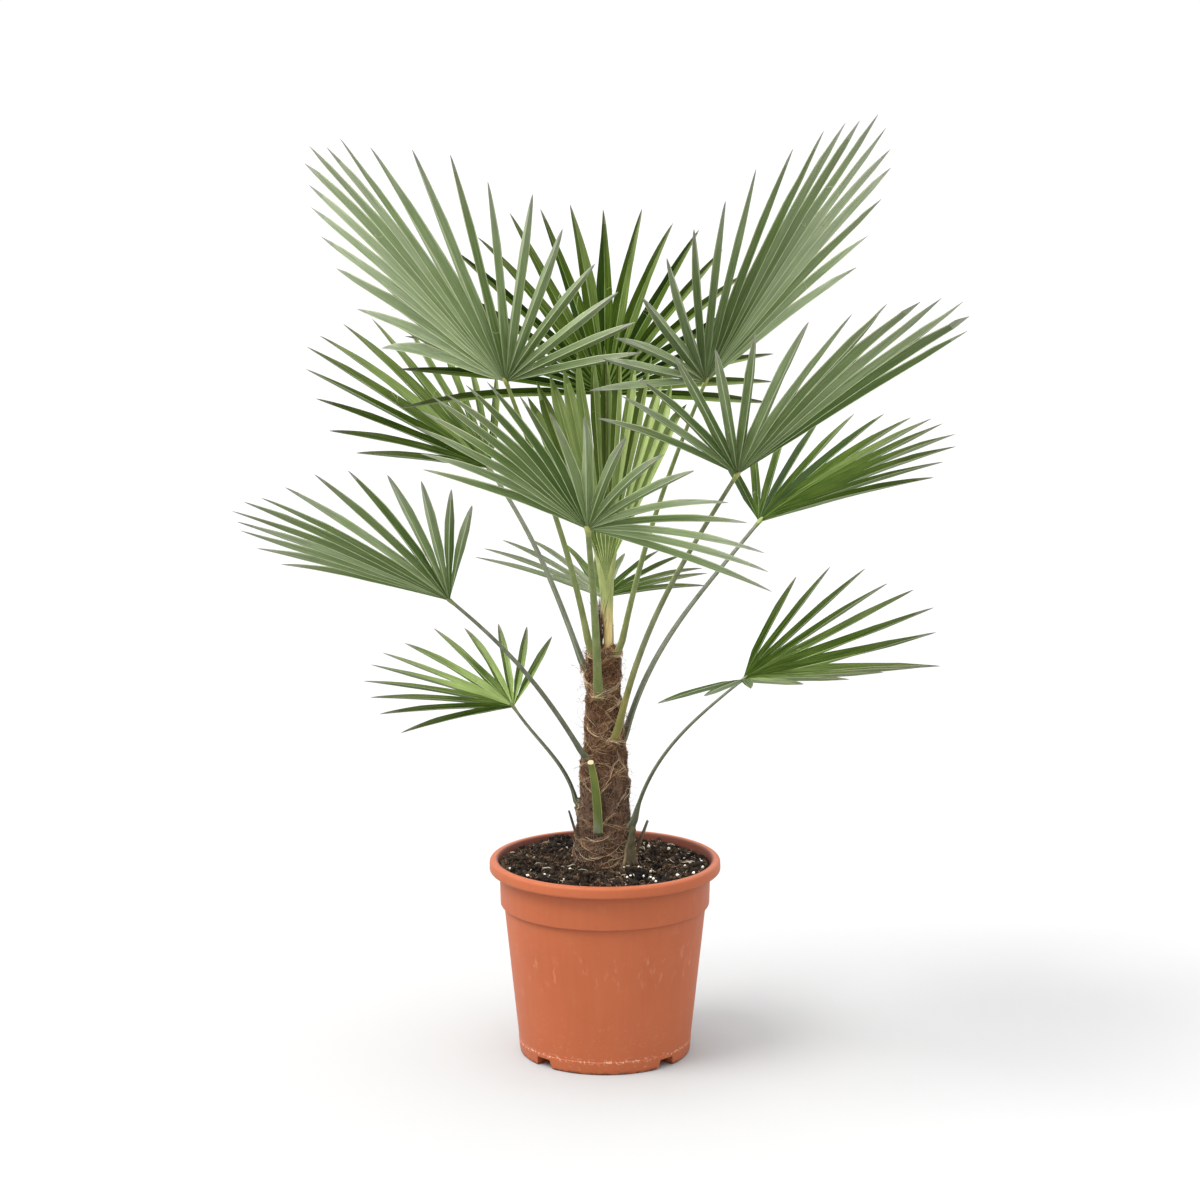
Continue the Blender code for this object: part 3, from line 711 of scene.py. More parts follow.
def mat_path(angle, height, lean, curl, length, lift, fray=0.0, steps=8):
    """A thread's path over the mat. lean is its slant at the middle, curl how far it turns on its way."""
    path = []
    curl = curl if abs(curl) > 0.01 else 0.01
    for step in range(steps):
        share = step / (steps - 1) - 0.5
        aside = length * (math.sin(lean + curl * share) - math.sin(lean)) / curl
        up = height + length * (math.cos(lean) - math.cos(lean + curl * share)) / curl
        up = min(max(up, TRUNK_FOOT), TRUNK_TOP - 0.0015)
        off = lift + fray * max(0.0, abs(share) - 0.3) ** 2 * 25
        path.append(trunk_point(angle + aside / trunk_radius(up), up, off))
    return path


def tapered(thick, steps=8):
    return [thick * (0.35 + 0.65 * math.sin(math.pi * (0.1 + 0.8 * step / (steps - 1)))) for step in range(steps)]


def felt_threads():
    """Short curled threads felted over the whole mat."""
    rng = random.Random(21)
    heap = Heap()
    for _ in range(FELT_THREADS):
        angle = rng.uniform(0, math.tau)
        height = TRUNK_FOOT + TRUNK_RISE * rng.random() ** 0.9
        lean = rng.uniform(-1.3, 1.3)
        path = mat_path(angle, height, lean, rng.gauss(0, 2.0), rng.uniform(0.006, 0.020),
                        rng.uniform(-0.0001, 0.0009), rng.uniform(0, 0.0012))
        mark = rng.choice((0, 0, 1, 1, 2))
        if height < TRUNK_FOOT + 0.4 * TRUNK_RISE and mark:
            mark = rng.choice((1, 4, 4))
        strand(heap, path, tapered(rng.choice((0.00014, 0.0002, 0.00026))), mark, 3)
    return heap.mesh("felt_threads")


def sheath_threads():
    """Tan threads: bundles that cross the mat, torn edges of sheaths, and ties over the feet of the stalks."""
    rng = random.Random(23)
    heap = Heap()
    for _ in range(CROSSING_BUNDLES):
        angle = rng.uniform(0, math.tau)
        height = TRUNK_FOOT + TRUNK_RISE * rng.uniform(0.20, 0.98)
        lean = rng.choice((-1, 1)) * rng.uniform(0.3, 1.0)
        curl = rng.gauss(0, 0.5)
        length = rng.uniform(0.014, 0.034)
        for _thread in range(rng.choice((1, 2, 2, 3, 5))):
            path = mat_path(angle + rng.gauss(0, 0.05), height + rng.gauss(0, 0.0011), lean + rng.gauss(0, 0.1),
                            curl + rng.gauss(0, 0.3), length * rng.uniform(0.6, 1.15), rng.uniform(0.0006, 0.0016),
                            rng.uniform(0, 0.0015), 10)
            strand(heap, path, tapered(rng.choice((0.00016, 0.00022, 0.0003)), 10), rng.choice((2, 2, 3)), 3)
    for sheath, (facing, _height) in enumerate(SHEATHS):
        for _ in range(34):
            angle = math.radians(facing) + rng.uniform(-math.pi, math.pi)
            rise = (sheath_edge(sheath, angle + 0.15) - sheath_edge(sheath, angle - 0.15)) / 0.3
            lean = math.atan(rise / trunk_radius(_height)) + rng.gauss(0, 0.15)
            height = min(sheath_edge(sheath, angle) - abs(rng.gauss(0, 0.0018)), TRUNK_TOP - 0.002)
            path = mat_path(angle, height, lean, rng.gauss(0, 0.4), rng.uniform(0.010, 0.026),
                            rng.uniform(0.0002, 0.0010), rng.uniform(0, 0.002))
            strand(heap, path, tapered(rng.choice((0.00016, 0.00022, 0.0003))), rng.choice((1, 2, 2)), 3)
    for _ in range(FOOT_ARCS):
        angle = rng.uniform(0, math.tau)
        height = TRUNK_FOOT + rng.uniform(0.000, 0.030)
        path = mat_path(angle, height, rng.gauss(0, 0.35), rng.uniform(0.3, 1.6), rng.uniform(0.014, 0.036),
                        rng.uniform(0.0004, 0.0020), rng.uniform(0, 0.003), 10)
        strand(heap, path, tapered(rng.choice((0.0002, 0.00032, 0.00045)), 10), rng.choice((2, 3, 4)), 3)
    return heap.mesh("sheath_threads")


def stalk_ties(seats):
    """Threads of older sheaths that run over the foot of a stalk. A seat is its angle, height and radius."""
    rng = random.Random(24)
    heap = Heap()
    for facing, height, radius in seats:
        for _ in range(16):
            lean = rng.gauss(0, 0.5)
            length = rng.uniform(0.010, 0.024)
            middle = facing + rng.uniform(-0.25, 0.25)
            low = height + rng.uniform(-0.004, 0.004)
            path = []
            for step in range(12):
                along = length * (step / 11 - 0.5)
                up = low + along * math.sin(lean) + 6 * along**2 * rng.choice((1, 1, 0.8))
                up = min(up, TRUNK_TOP - 0.001)
                turn = middle + along * math.cos(lean) / trunk_radius(up)
                off = (turn - facing) * trunk_radius(up) / (1.3 * radius)
                path.append(trunk_point(turn, up, rng.uniform(0.0006, 0.0010) + 2.0 * radius * math.exp(-off**2)))
            strand(heap, path, tapered(rng.choice((0.00016, 0.00022, 0.0003)), 12), rng.choice((1, 2, 2, 3)), 3)
    return heap.mesh("stalk_ties")


def curled(rng, start, way, stride, steps, drop=0.05, curl=0.5):
    """A path in the air that curls as it goes."""
    bend = Vector((rng.uniform(-1, 1), rng.uniform(-1, 1), rng.uniform(-1, 1))) * rng.uniform(min(0.15, curl / 4), curl)
    path = [start]
    for _step in range(steps - 1):
        way = (way + way.cross(bend) - Vector((0, 0, drop))).normalized()
        path.append(path[-1] + way * stride)
    return path


def loose_hairs():
    """Fine hairs that spring from the mat and curl in the air, and torn fibre round the foot of the new leaf, where a
    dense dark tuft is partly painted shade.
    """
    rng = random.Random(22)
    heap = Heap()
    for _ in range(LOOSE_HAIRS):
        angle = rng.uniform(0, math.tau)
        above = TRUNK_RISE * rng.random() ** 0.75
        start = trunk_point(angle, TRUNK_FOOT + above, -0.0004)
        way = Vector((math.cos(angle), math.sin(angle), rng.uniform(-0.6, 0.9)))
        way += Vector((rng.uniform(-1, 1), rng.uniform(-1, 1), 0)) * 1.1
        path = curled(rng, start, way.normalized(), rng.uniform(0.0007, 0.0022), 12, 0.06)
        thick = rng.uniform(0.00010, 0.00018)
        strand(heap, path, [thick * (1 - 0.055 * step) for step in range(12)], rng.choice((0, 1, 4, 4)), 3)
    for _ in range(COLLAR_CURLS):
        angle = rng.uniform(0, math.tau)
        start = trunk_point(angle, TRUNK_TOP - rng.uniform(0.001, 0.012), rng.uniform(-0.003, 0.0006))
        way = Vector((math.cos(angle) * rng.uniform(-0.5, 0.3), math.sin(angle) * rng.uniform(-0.5, 0.3), 1.0))
        way += Vector((-math.sin(angle), math.cos(angle), 0)) * rng.uniform(-1.4, 1.4)
        path = curled(rng, start, way.normalized(), rng.uniform(0.0006, 0.0014), 9, 0.12, 0.7)
        thick = rng.choice((0.0002, 0.0003, 0.0005))
        strand(heap, path, [thick * (1 - 0.08 * step) for step in range(9)], rng.choice((0, 1, 1, 2, 2)), 3)
    for _ in range(90):
        angle = rng.choice((0.05, 0.05, 3.3, 5.1)) + rng.gauss(0, 0.25)
        start = trunk_point(angle, TRUNK_TOP - rng.uniform(0.002, 0.009), rng.uniform(-0.002, 0.0004))
        way = Vector((math.cos(angle) * 0.7, math.sin(angle) * 0.7, rng.uniform(0.3, 1.0)))
        path = curled(rng, start, way.normalized(), rng.uniform(0.0005, 0.0011), 10, 0.02, 0.6)
        thick = rng.choice((0.0002, 0.0003, 0.0004))
        strand(heap, path, [thick * (1 - 0.07 * step) for step in range(10)], rng.choice((0, 0, 1, 1, 2)), 3)
    for angle, low, high, count in ((3.2, 0.383, 0.418, 16), (3.2, 0.340, 0.380, 7), (0.1, 0.330, 0.362, 12)):
        for _ in range(count):
            start = trunk_point(angle + rng.gauss(0, 0.25), rng.uniform(low, high), -0.0005)
            way = Vector((math.cos(angle), rng.uniform(-0.4, 0.4), rng.uniform(-0.5, 0.9)))
            path = curled(rng, start, way.normalized(), rng.uniform(0.0013, 0.0022), 13, 0.03, 0.5)
            strand(heap, path, [0.00022 * (1 - 0.05 * step) for step in range(13)], rng.choice((0, 0, 1, 4, 4)), 3)
    # A dense tuft of mostly dark hairs in the gap between the front stalk and the new leaf: partly real fibre, partly a
    # dark strip put where that gap lies in shade.
    for _ in range(110):
        start = trunk_centre(TRUNK_TOP - 0.004) + Vector((rng.uniform(-0.0055, -0.0005), rng.uniform(-0.006, 0.002), 0))
        way = Vector((rng.uniform(-0.07, -0.01), rng.uniform(-0.05, 0.03), 1.0))
        path = curled(rng, start, way.normalized(), rng.uniform(0.0010, 0.0056), 12, 0.0, 0.05)
        strand(heap, path, [0.0004 * (1 - 0.06 * step) for step in range(12)], rng.choice((0, 0, 0, 1)), 3)
    return heap.mesh("loose_hairs")


thread_dark = fibre_thread("thread_dark", (0.040, 0.020, 0.012), (0.110, 0.052, 0.028))
thread_brown = fibre_thread("thread_brown", (0.150, 0.072, 0.036), (0.290, 0.155, 0.080))
thread_tan = fibre_thread("thread_tan", (0.34, 0.21, 0.11), (0.54, 0.37, 0.21))
thread_pale = fibre_thread("thread_pale", (0.54, 0.39, 0.24), (0.74, 0.59, 0.40))
thread_grey = fibre_thread("thread_grey", (0.190, 0.135, 0.095), (0.330, 0.250, 0.190))
THREADS = [thread_dark, thread_brown, thread_tan, thread_pale, thread_grey]
add_piece("fibre_mat", trunk_mesh(), [felted_fibre()], ["trunk"])
add_piece("felt_threads", felt_threads(), THREADS, [])
add_piece("sheath_threads", sheath_threads(), THREADS, [])
add_piece("loose_hairs", loose_hairs(), THREADS, [])


# Each frond is a stiff petiole that springs from under the fibre, half-round with small teeth on its edges,
# and a fan of V-folded leaflets joined near the hub. The upper skin is deep green, the under skin waxy grey.

PETIOLE_BASE_RADIUS = 0.0038
PETIOLE_TIP_RADIUS = 0.0024
HUB_REACH = 0.008
GAP = 0.0003
LEAF_THICKNESS = 0.00045
RIB_THICKNESS = 0.0011
LEAFLET_HALF_WIDTH = 0.0048
LEAFLET_STATIONS = 40
LEAFLET_COLUMNS = np.array([-1, -0.93, -0.6, -0.3, -0.08, 0, 0.08, 0.3, 0.6, 0.93, 1])
POINT_SHARE = 0.31
POINT_POWER = 0.62
LANCE_POWER = 0.85
WEBBED_REACH = 0.65
WEBBED_FALL = 0.58
SLIT = 0.0003
FOLD_SLOPE = 1.0
FADES = (0.022, 0.015, 0.008)
# The way towards the key light: the half of each leaflet facing it stays paler and the other half gets painted shade.
LIGHT_WAY = np.array((-0.45, -0.20, 0.87))


class Frond:
    def __init__(self, name, leaflets, hub, azimuth, elevation, roll, radius, spread, cup, side, droop, longest,
                 joined, webbed, seat=0, height=0.0, spring=0, arch=0, girth=1.0, narrow=1.0, flare=0.28):
        self.name, self.leaflets, self.hub = name, leaflets, Vector(hub)
        self.radius, self.spread, self.side, self.droop = radius, math.radians(spread), side, droop
        self.longest, self.joined, self.webbed, self.cup = longest, joined, webbed, math.radians(cup)
        self.seat, self.height, self.spring, self.arch = math.radians(seat), height, spring, arch
        self.girth, self.narrow, self.flare = girth, narrow, flare
        turn, rise, roll = (math.radians(angle) for angle in (azimuth, elevation, roll))
        self.along = Vector((math.cos(turn) * math.cos(rise), math.sin(turn) * math.cos(rise), math.sin(rise)))
        level = Vector((math.sin(turn), -math.cos(turn), 0))
        self.across = math.cos(roll) * level + math.sin(roll) * level.cross(self.along)
        self.upper = self.across.cross(self.along)

    def length_at(self, share):
        off_longest = abs(share - self.longest) / (1 + abs(self.longest))
        return self.radius * (1 - (1 - self.side) * off_longest**1.8)

    def joined_at(self, share):
        """Distance from the hub at which the leaflets on both sides of this place part."""
        off_webbed = min(1, abs(share - self.webbed) / WEBBED_REACH)
        return self.length_at(share) * self.joined * (1 - WEBBED_FALL * off_webbed**3)

    def point(self, share, distance):
        """Points of the fan, for arrays of shares across it and of distances from the hub."""
        angle = self.spread / 2 * share
        across = np.sin(angle) * math.cos(self.cup)
        lifted = np.abs(np.sin(angle)) * math.sin(self.cup)
        way = np.multiply.outer(np.cos(angle), np.array(self.along))
        way = way + np.multiply.outer(across, np.array(self.across))
        way = way + np.multiply.outer(lifted, np.array(self.upper))
        place = np.array(self.hub) + way * distance[..., None]
        place[..., 2] -= self.droop * (distance / self.radius) ** 2
        return place


# name, leaflets, hub, azimuth, elevation, roll, radius, spread, cup, side, droop, longest,
# joined, webbed, seat, height, spring, arch, girth,
# narrow (a share of the leaflets' width), flare (how much the petiole widens at its foot)
FRONDS = [
    Frond("upper_left", 20, (-0.097, -0.090, 0.711), 210, 56, -8, 0.310, 174, 12, 0.62, 0.010, 0.6,
          0.64, 0.45, 231, 0.424, 8, 4, 1.0),
    Frond("upper_right", 19, (0.099, -0.058, 0.708), 311, 58, -17, 0.314, 157, 5, 0.66, 0.010, -0.6,
          0.64, -0.45, 325, 0.424, 6, 5, 1.0),
    Frond("upper_back", 21, (0.000, 0.130, 0.675), 90, 70, -5, 0.240, 182, 15, 0.72, 0.026, -0.35,
          0.44, 0.0, 70, 0.420, 18, 8, 1.0),
    Frond("front", 19, (-0.017, -0.110, 0.568), 256, 48, 20, 0.222, 182, 8, 0.88, 0.028, 0.3,
          0.50, 0.5, 256, 0.382, 14, 8, 1.25),
    Frond("left_back", 12, (-0.121, 0.085, 0.603), 160, 42, 11, 0.240, 117, 0, 0.72, 0.017, 0.1,
          0.46, 0.0, 151, 0.401, 7, 10, 1.0),
    Frond("right_front", 14, (0.128, -0.130, 0.625), 287, 37, -8, 0.305, 105, 11, 0.68, 0.017, -0.25,
          0.62, -0.6, 300, 0.336, 14, 8, 1.0),
    Frond("right_back", 13, (0.161, 0.080, 0.547), 38, 28, 4, 0.246, 113, 4, 0.83, 0.020, -0.25,
          0.56, 0.3, 44, 0.320, 20, 9, 1.0),
    Frond("left_front", 14, (-0.155, -0.080, 0.492), 226, 33, -22, 0.271, 89, 11, 0.63, 0.017, 0.0,
          0.58, 0.6, 225, 0.314, 9, 9, 0.85),
    Frond("lower_left", 12, (-0.095, 0.020, 0.362), 150, 21, 14, 0.161, 146, 11, 0.79, 0.013, -0.2,
          0.33, 0.0, 160, 0.259, 22, 3, 0.75, 0.85, 0.5),
    Frond("lower_right", 15, (0.140, -0.030, 0.401), 333, 10, -13, 0.220, 174, 18, 0.76, 0.000, 0.6,
          0.42, 0.1, 335, 0.242, 24, 14, 0.75, 0.9, 1.2),
    Frond("lower_back", 12, (-0.002, 0.090, 0.465), 87, 13, -5, 0.185, 134, 10, 0.63, 0.021, -0.25,
          0.28, 0.0, 112, 0.365, 20, 10, 0.85, 0.8),
]


def leaf_skin(name, dark, light, roughness, specular, patch=None, hub_green_and_shade=None, tip=None):
    """Leaf skin streaked along its veins, with fresher patches, a deeper green by the hub that is partly painted shade,
    and a greyer tip.
    """
    made, tree, shader = finish(name, roughness, specular)
    where = place(tree)
    along = node(tree, "ShaderNodeUVMap", uv_map="leaflet").outputs["UV"]
    stretched = node(tree, "ShaderNodeMapping", {"Vector": along, "Scale": (1.0, 0.02, 1.0)}).outputs["Vector"]
    drawn = node(tree, "ShaderNodeMapping", {"Vector": along, "Scale": (1.0, 0.10, 1.0)}).outputs["Vector"]
    mottled = tint(tree, cloud(tree, drawn, 240.0, 4.0), dark, light)
    if patch:
        mottled = tint(tree, times(tree, cloud(tree, where, 24.0, 3.0, 0.50, 0.66), 0.7), mottled, patch)
    if hub_green_and_shade:
        # Painted shade: towards the hub the skin goes to its hub colour. On the upper skins this is much darker and
        # stands for the shade in the crown's heart; on the under skins it is partly a real greener tone.
        from_hub = node(tree, "ShaderNodeSeparateXYZ", {0: along}).outputs["Y"]
        mottled = tint(tree, spread(tree, from_hub, 0.06, 0.27), hub_green_and_shade, mottled)
    if tip:
        from_tip = node(tree, "ShaderNodeUVMap", uv_map="tip").outputs["UV"]
        from_tip = node(tree, "ShaderNodeSeparateXYZ", {0: from_tip}).outputs["X"]
        mottled = tint(tree, spread(tree, from_tip, 0.085, 0.020), mottled, tip)
    veins = cloud(tree, stretched, 1100.0, 3.0, 0.40, 0.62)
    colour = tint(tree, times(tree, veins, 0.38), mottled, tuple(min(1.0, c * 1.45) for c in light))
    shaded = cloud(tree, stretched, 520.0, 2.0, 0.48, 0.66)
    colour = tint(tree, times(tree, shaded, 0.35), colour, tuple(c * 0.6 for c in dark))
    feed(tree, shader, colour, relief(tree, veins, 0.00018, 0.7))
    return made


def plain_skin(name, dark, light, roughness=0.5):
    made, tree, shader = finish(name, roughness, 0.4)
    where = place(tree)
    feed(tree, shader, tint(tree, cloud(tree, where, 90.0, 4.0), dark, light),
         relief(tree, cloud(tree, place(tree, (1, 1, 0.3)), 500.0, 3.0), 0.0002, 0.5))
    return made


def slit_places(frond, rng):
    """Distance from the hub to the foot of each slit, the outer edges included. A few pairs stay joined further."""
    pitch = 2 / (frond.leaflets - 1)
    places = []
    for index in range(frond.leaflets + 1):
        grown = rng.uniform(1.20, 1.34) if rng.random() < 0.13 else rng.uniform(0.88, 1.08)
        places.append(min(frond.joined_at(-1 + pitch * (index - 0.5)) * grown, 0.86 * frond.radius))
    places[0] = places[-1] = 0.004
    return places


def leaflet_halves(frond, along, length, slits, half_width):
    """Widths on both sides of a leaflet's rib: the whole sector while joined, then its own lance-shaped outline."""
    half_pitch = frond.spread / (frond.leaflets - 1) / 2
    sector = along * half_pitch
    point = half_width * ((length - along) / (POINT_SHARE * length)).clip(0, 1) ** POINT_POWER
    halves = []
    for parted in slits:
        run_out = ((length - along) / max(length - parted, 0.001)).clip(0, 1)
        lance = parted * half_pitch * run_out**LANCE_POWER
        free = np.minimum(np.maximum(point, lance), sector - SLIT)
        halves.append(np.where(along <= parted, sector, free).clip(0.0002))
    return halves


def leaflet_shell(frond, index, rng, heap, slits, slope, half_width, marks):
    """One closed leaflet: a V with its rib low, joined to its neighbours near the hub, free and pointed beyond."""
    share = -1 + 2 * index / (frond.leaflets - 1)
    length = frond.length_at(share) * rng.uniform(0.985, 1.03)
    start = 0.003
    along = start + (length - start) * np.linspace(0, 1, LEAFLET_STATIONS) ** 0.92
    halves = leaflet_halves(frond, along, length, slits, half_width)
    parted = min(max(slits), 0.8 * length)
    free = ((along - parted) / (length - parted)).clip(0, 1)
    bend = rng.uniform(-0.004, 0.004)
    sag = rng.uniform(-0.002, 0.005)
    twist = rng.uniform(-0.35, 0.35) * free
    columns = LEAFLET_COLUMNS[None, :]
    half = np.where(columns < 0, halves[0][:, None], halves[1][:, None])
    offset = columns * half
    shares = share + offset / along[:, None] / (frond.spread / 2)
    distances = np.repeat(along[:, None], len(LEAFLET_COLUMNS), 1)
    skin = frond.point(shares, distances)
    spine = frond.point(np.full_like(along, share), along)
    flat = skin - spine[:, None, :]
    upper = np.array(frond.upper)
    wide = (halves[0] + halves[1])[:, None] / 2
    lift = (np.abs(columns) * np.minimum(half, half_width) - np.minimum(wide, half_width) / 2) * slope
    across_way = frond.point(np.full_like(along, share + 0.01), along) - spine
    across_way /= np.linalg.norm(across_way, axis=1)[:, None]
    turned_flat = flat * np.cos(twist)[:, None, None] + offset[..., None] * np.sin(twist)[:, None, None] * upper
    up = upper * np.cos(twist)[:, None] - across_way * np.sin(twist)[:, None]
    top = spine[:, None, :] + turned_flat + up[:, None, :] * lift[..., None]
    top += (across_way * (bend * free**2)[:, None])[:, None, :]
    top[..., 2] -= (sag * free**2)[:, None]
    rib = np.abs(LEAFLET_COLUMNS) < 0.2
    thick = np.where(rib[None, :], RIB_THICKNESS * (1 - 0.6 * along / length)[:, None], LEAF_THICKNESS)
    thick = thick * np.where(np.abs(LEAFLET_COLUMNS) == 1, 0.5, 1.0)[None, :]
    thick = thick * (1 - 0.6 * free**4)[:, None]
    bottom = top - up[:, None, :] * thick[..., None]
    # Painted light and shade: the half of each leaflet that faces LIGHT_WAY keeps its own tone, the other half takes
    # the darker tone that SHADED gives it.
    paler = np.sign(across_way[LEAFLET_STATIONS // 2] @ LIGHT_WAY)
    rows, wide_count = top.shape[:2]
    points = np.concatenate([top.reshape(-1, 3), bottom.reshape(-1, 3)])
    uvs = np.stack([offset + 0.03 * index, distances], -1).reshape(-1, 2)
    heap.tips.append(np.tile(length - distances.ravel(), 2))
    heap.leaflet(points, np.concatenate([uvs, uvs]), rows, wide_count, along, length, marks, paler)


class LeafHeap:
    """Collects closed leaflets of a fan, each with skin, under skin, rib and dry tip."""

    def __init__(self):
        self.points, self.uvs, self.tips, self.faces, self.marks = [], [], [], [], []
        self.count = 0

    def leaflet(self, points, uvs, rows, columns, along, length, marks, paler):
        upper_mark, under_mark = marks
        start = self.count
        self.points.append(points)
        self.uvs.append(uvs)
        self.count += len(points)
        below = start + rows * columns
        row, column = np.meshgrid(np.arange(rows - 1), np.arange(columns - 1), indexing="ij")
        corner = (row * columns + column).ravel()
        square = np.stack([corner, corner + 1, corner + columns + 1, corner + columns], 1)
        middles = (LEAFLET_COLUMNS[:-1] + LEAFLET_COLUMNS[1:])[column.ravel()] / 2
        centres = np.abs(middles)
        from_tip = length - along[row.ravel()]
        faded = sum((from_tip < fade).astype(int) for fade in FADES)
        # Painted shade: the half turned away from LIGHT_WAY takes the darker SHADED tone, above and below.
        upper = np.where(middles * paler < 0, upper_mark, SHADED[upper_mark])
        under = np.where(middles * paler > 0, under_mark, SHADED[under_mark])
        upper = np.where(centres < 0.1, RIB_UPPER, upper)
        under = np.where((centres < 0.1) | (centres > 0.9), RIB_UNDER, under)
        self.faces.append(square + start)
        self.marks.append(np.where(faded > 0, FADED_UPPER + faded - 1, upper))
        self.faces.append(square[:, ::-1] + below)
        self.marks.append(np.where(faded > 0, FADED_UNDER + faded - 1, under))
        step = np.arange(rows - 1) * columns
        left = np.stack([step + start, step + columns + start, step + columns + below, step + below], 1)
        last = columns - 1
        right = np.stack([step + last + below, step + last + columns + below,
                          step + last + columns + start, step + last + start], 1)
        cross = np.arange(columns - 1)
        foot = np.stack([cross + below, cross + 1 + below, cross + 1 + start, cross + start], 1)
        head = (rows - 1) * columns
        tip = np.stack([cross + head + start, cross + 1 + head + start, cross + 1 + head + below,
                        cross + head + below], 1)
        for faces, mark in ((left, upper_mark), (right, upper_mark), (foot, upper_mark), (tip, FADED_UPPER + 2)):
            self.faces.append(faces)
            self.marks.append(np.full(len(faces), mark))

    def mesh(self, name):
        points = np.concatenate(self.points)
        faces = np.concatenate(self.faces)
        mesh = bpy.data.meshes.new(name)
        mesh.from_pydata(points.tolist(), [], faces.tolist())
        mesh.polygons.foreach_set("material_index", np.concatenate(self.marks).astype(np.int32))
        layer = mesh.uv_layers.new(name="leaflet")
        layer.data.foreach_set("uv", np.concatenate(self.uvs)[faces.ravel()].ravel())
        from_tip = np.concatenate(self.tips)[faces.ravel()]
        layer = mesh.uv_layers.new(name="tip")
        layer.data.foreach_set("uv", np.stack([from_tip, np.zeros_like(from_tip)], -1).ravel())
        mesh.shade_smooth()
        mesh.set_sharp_from_angle(angle=math.radians(28))
        return mesh


def seat_point(frond, upright=1.0):
    out = Vector((math.cos(frond.seat), math.sin(frond.seat), 0))
    reach = trunk_radius(frond.height) + PETIOLE_BASE_RADIUS * frond.girth * upright + GAP
    return trunk_centre(frond.height) + out * reach


def petiole_knots(frond):
    """Foot, two handles and top of a petiole, and the way it points at its top."""

    def turned_chord(foot, degrees):
        chord = (frond.hub - foot).normalized()
        level = chord.cross(Vector((0, 0, 1))).normalized()
        return Matrix.Rotation(math.radians(degrees), 3, level) @ chord

    foot = seat_point(frond)
    foot = seat_point(frond, turned_chord(foot, frond.spring).z)
    end = turned_chord(foot, -frond.arch)
    top = frond.hub - end * (HUB_REACH + GAP)
    handle = (top - foot).length * 0.38
    return foot, foot + turned_chord(foot, frond.spring) * handle, top - end * handle, top, end


def bezier(knots, share):
    foot, first, second, top = knots
    rest = 1 - share
    return foot * rest**3 + first * 3 * rest**2 * share + second * 3 * rest * share**2 + top * share**3


def half_round(heap, path, radii, uppers, mark_of, margin=None, sides=14):
    """Sweeps the petiole's section, round below and flatter above, along a path. margin marks its two edges."""
    rings = []
    for index, centre in enumerate(path):
        before, after = path[max(0, index - 1)], path[min(len(path) - 1, index + 1)]
        way = (after - before).normalized()
        side = way.cross(uppers[index]).normalized()
        up = side.cross(way)
        ring = []
        for step in range(sides):
            angle = math.tau * step / sides
            high = math.sin(angle) * (0.55 if math.sin(angle) > 0 else 0.95)
            ring.append(centre + (side * math.cos(angle) + up * high) * radii[index])
        rings.append(ring)
    for index, (lower, upper) in enumerate(zip(rings, rings[1:])):
        faces = [(s, (s + 1) % sides, sides + (s + 1) % sides, sides + s) for s in range(sides)]
        heap.add(lower + upper, faces, mark_of(index))
        if margin is not None and mark_of(index) == 0:
            for side in (0, sides // 2 - 1):
                heap.marks[side - sides] = margin
    heap.add(rings[0], [tuple(range(sides))[::-1]], mark_of(0))
    heap.add(rings[-1], [tuple(range(sides))], mark_of(len(rings) - 1))


PETIOLE_STATIONS = 56


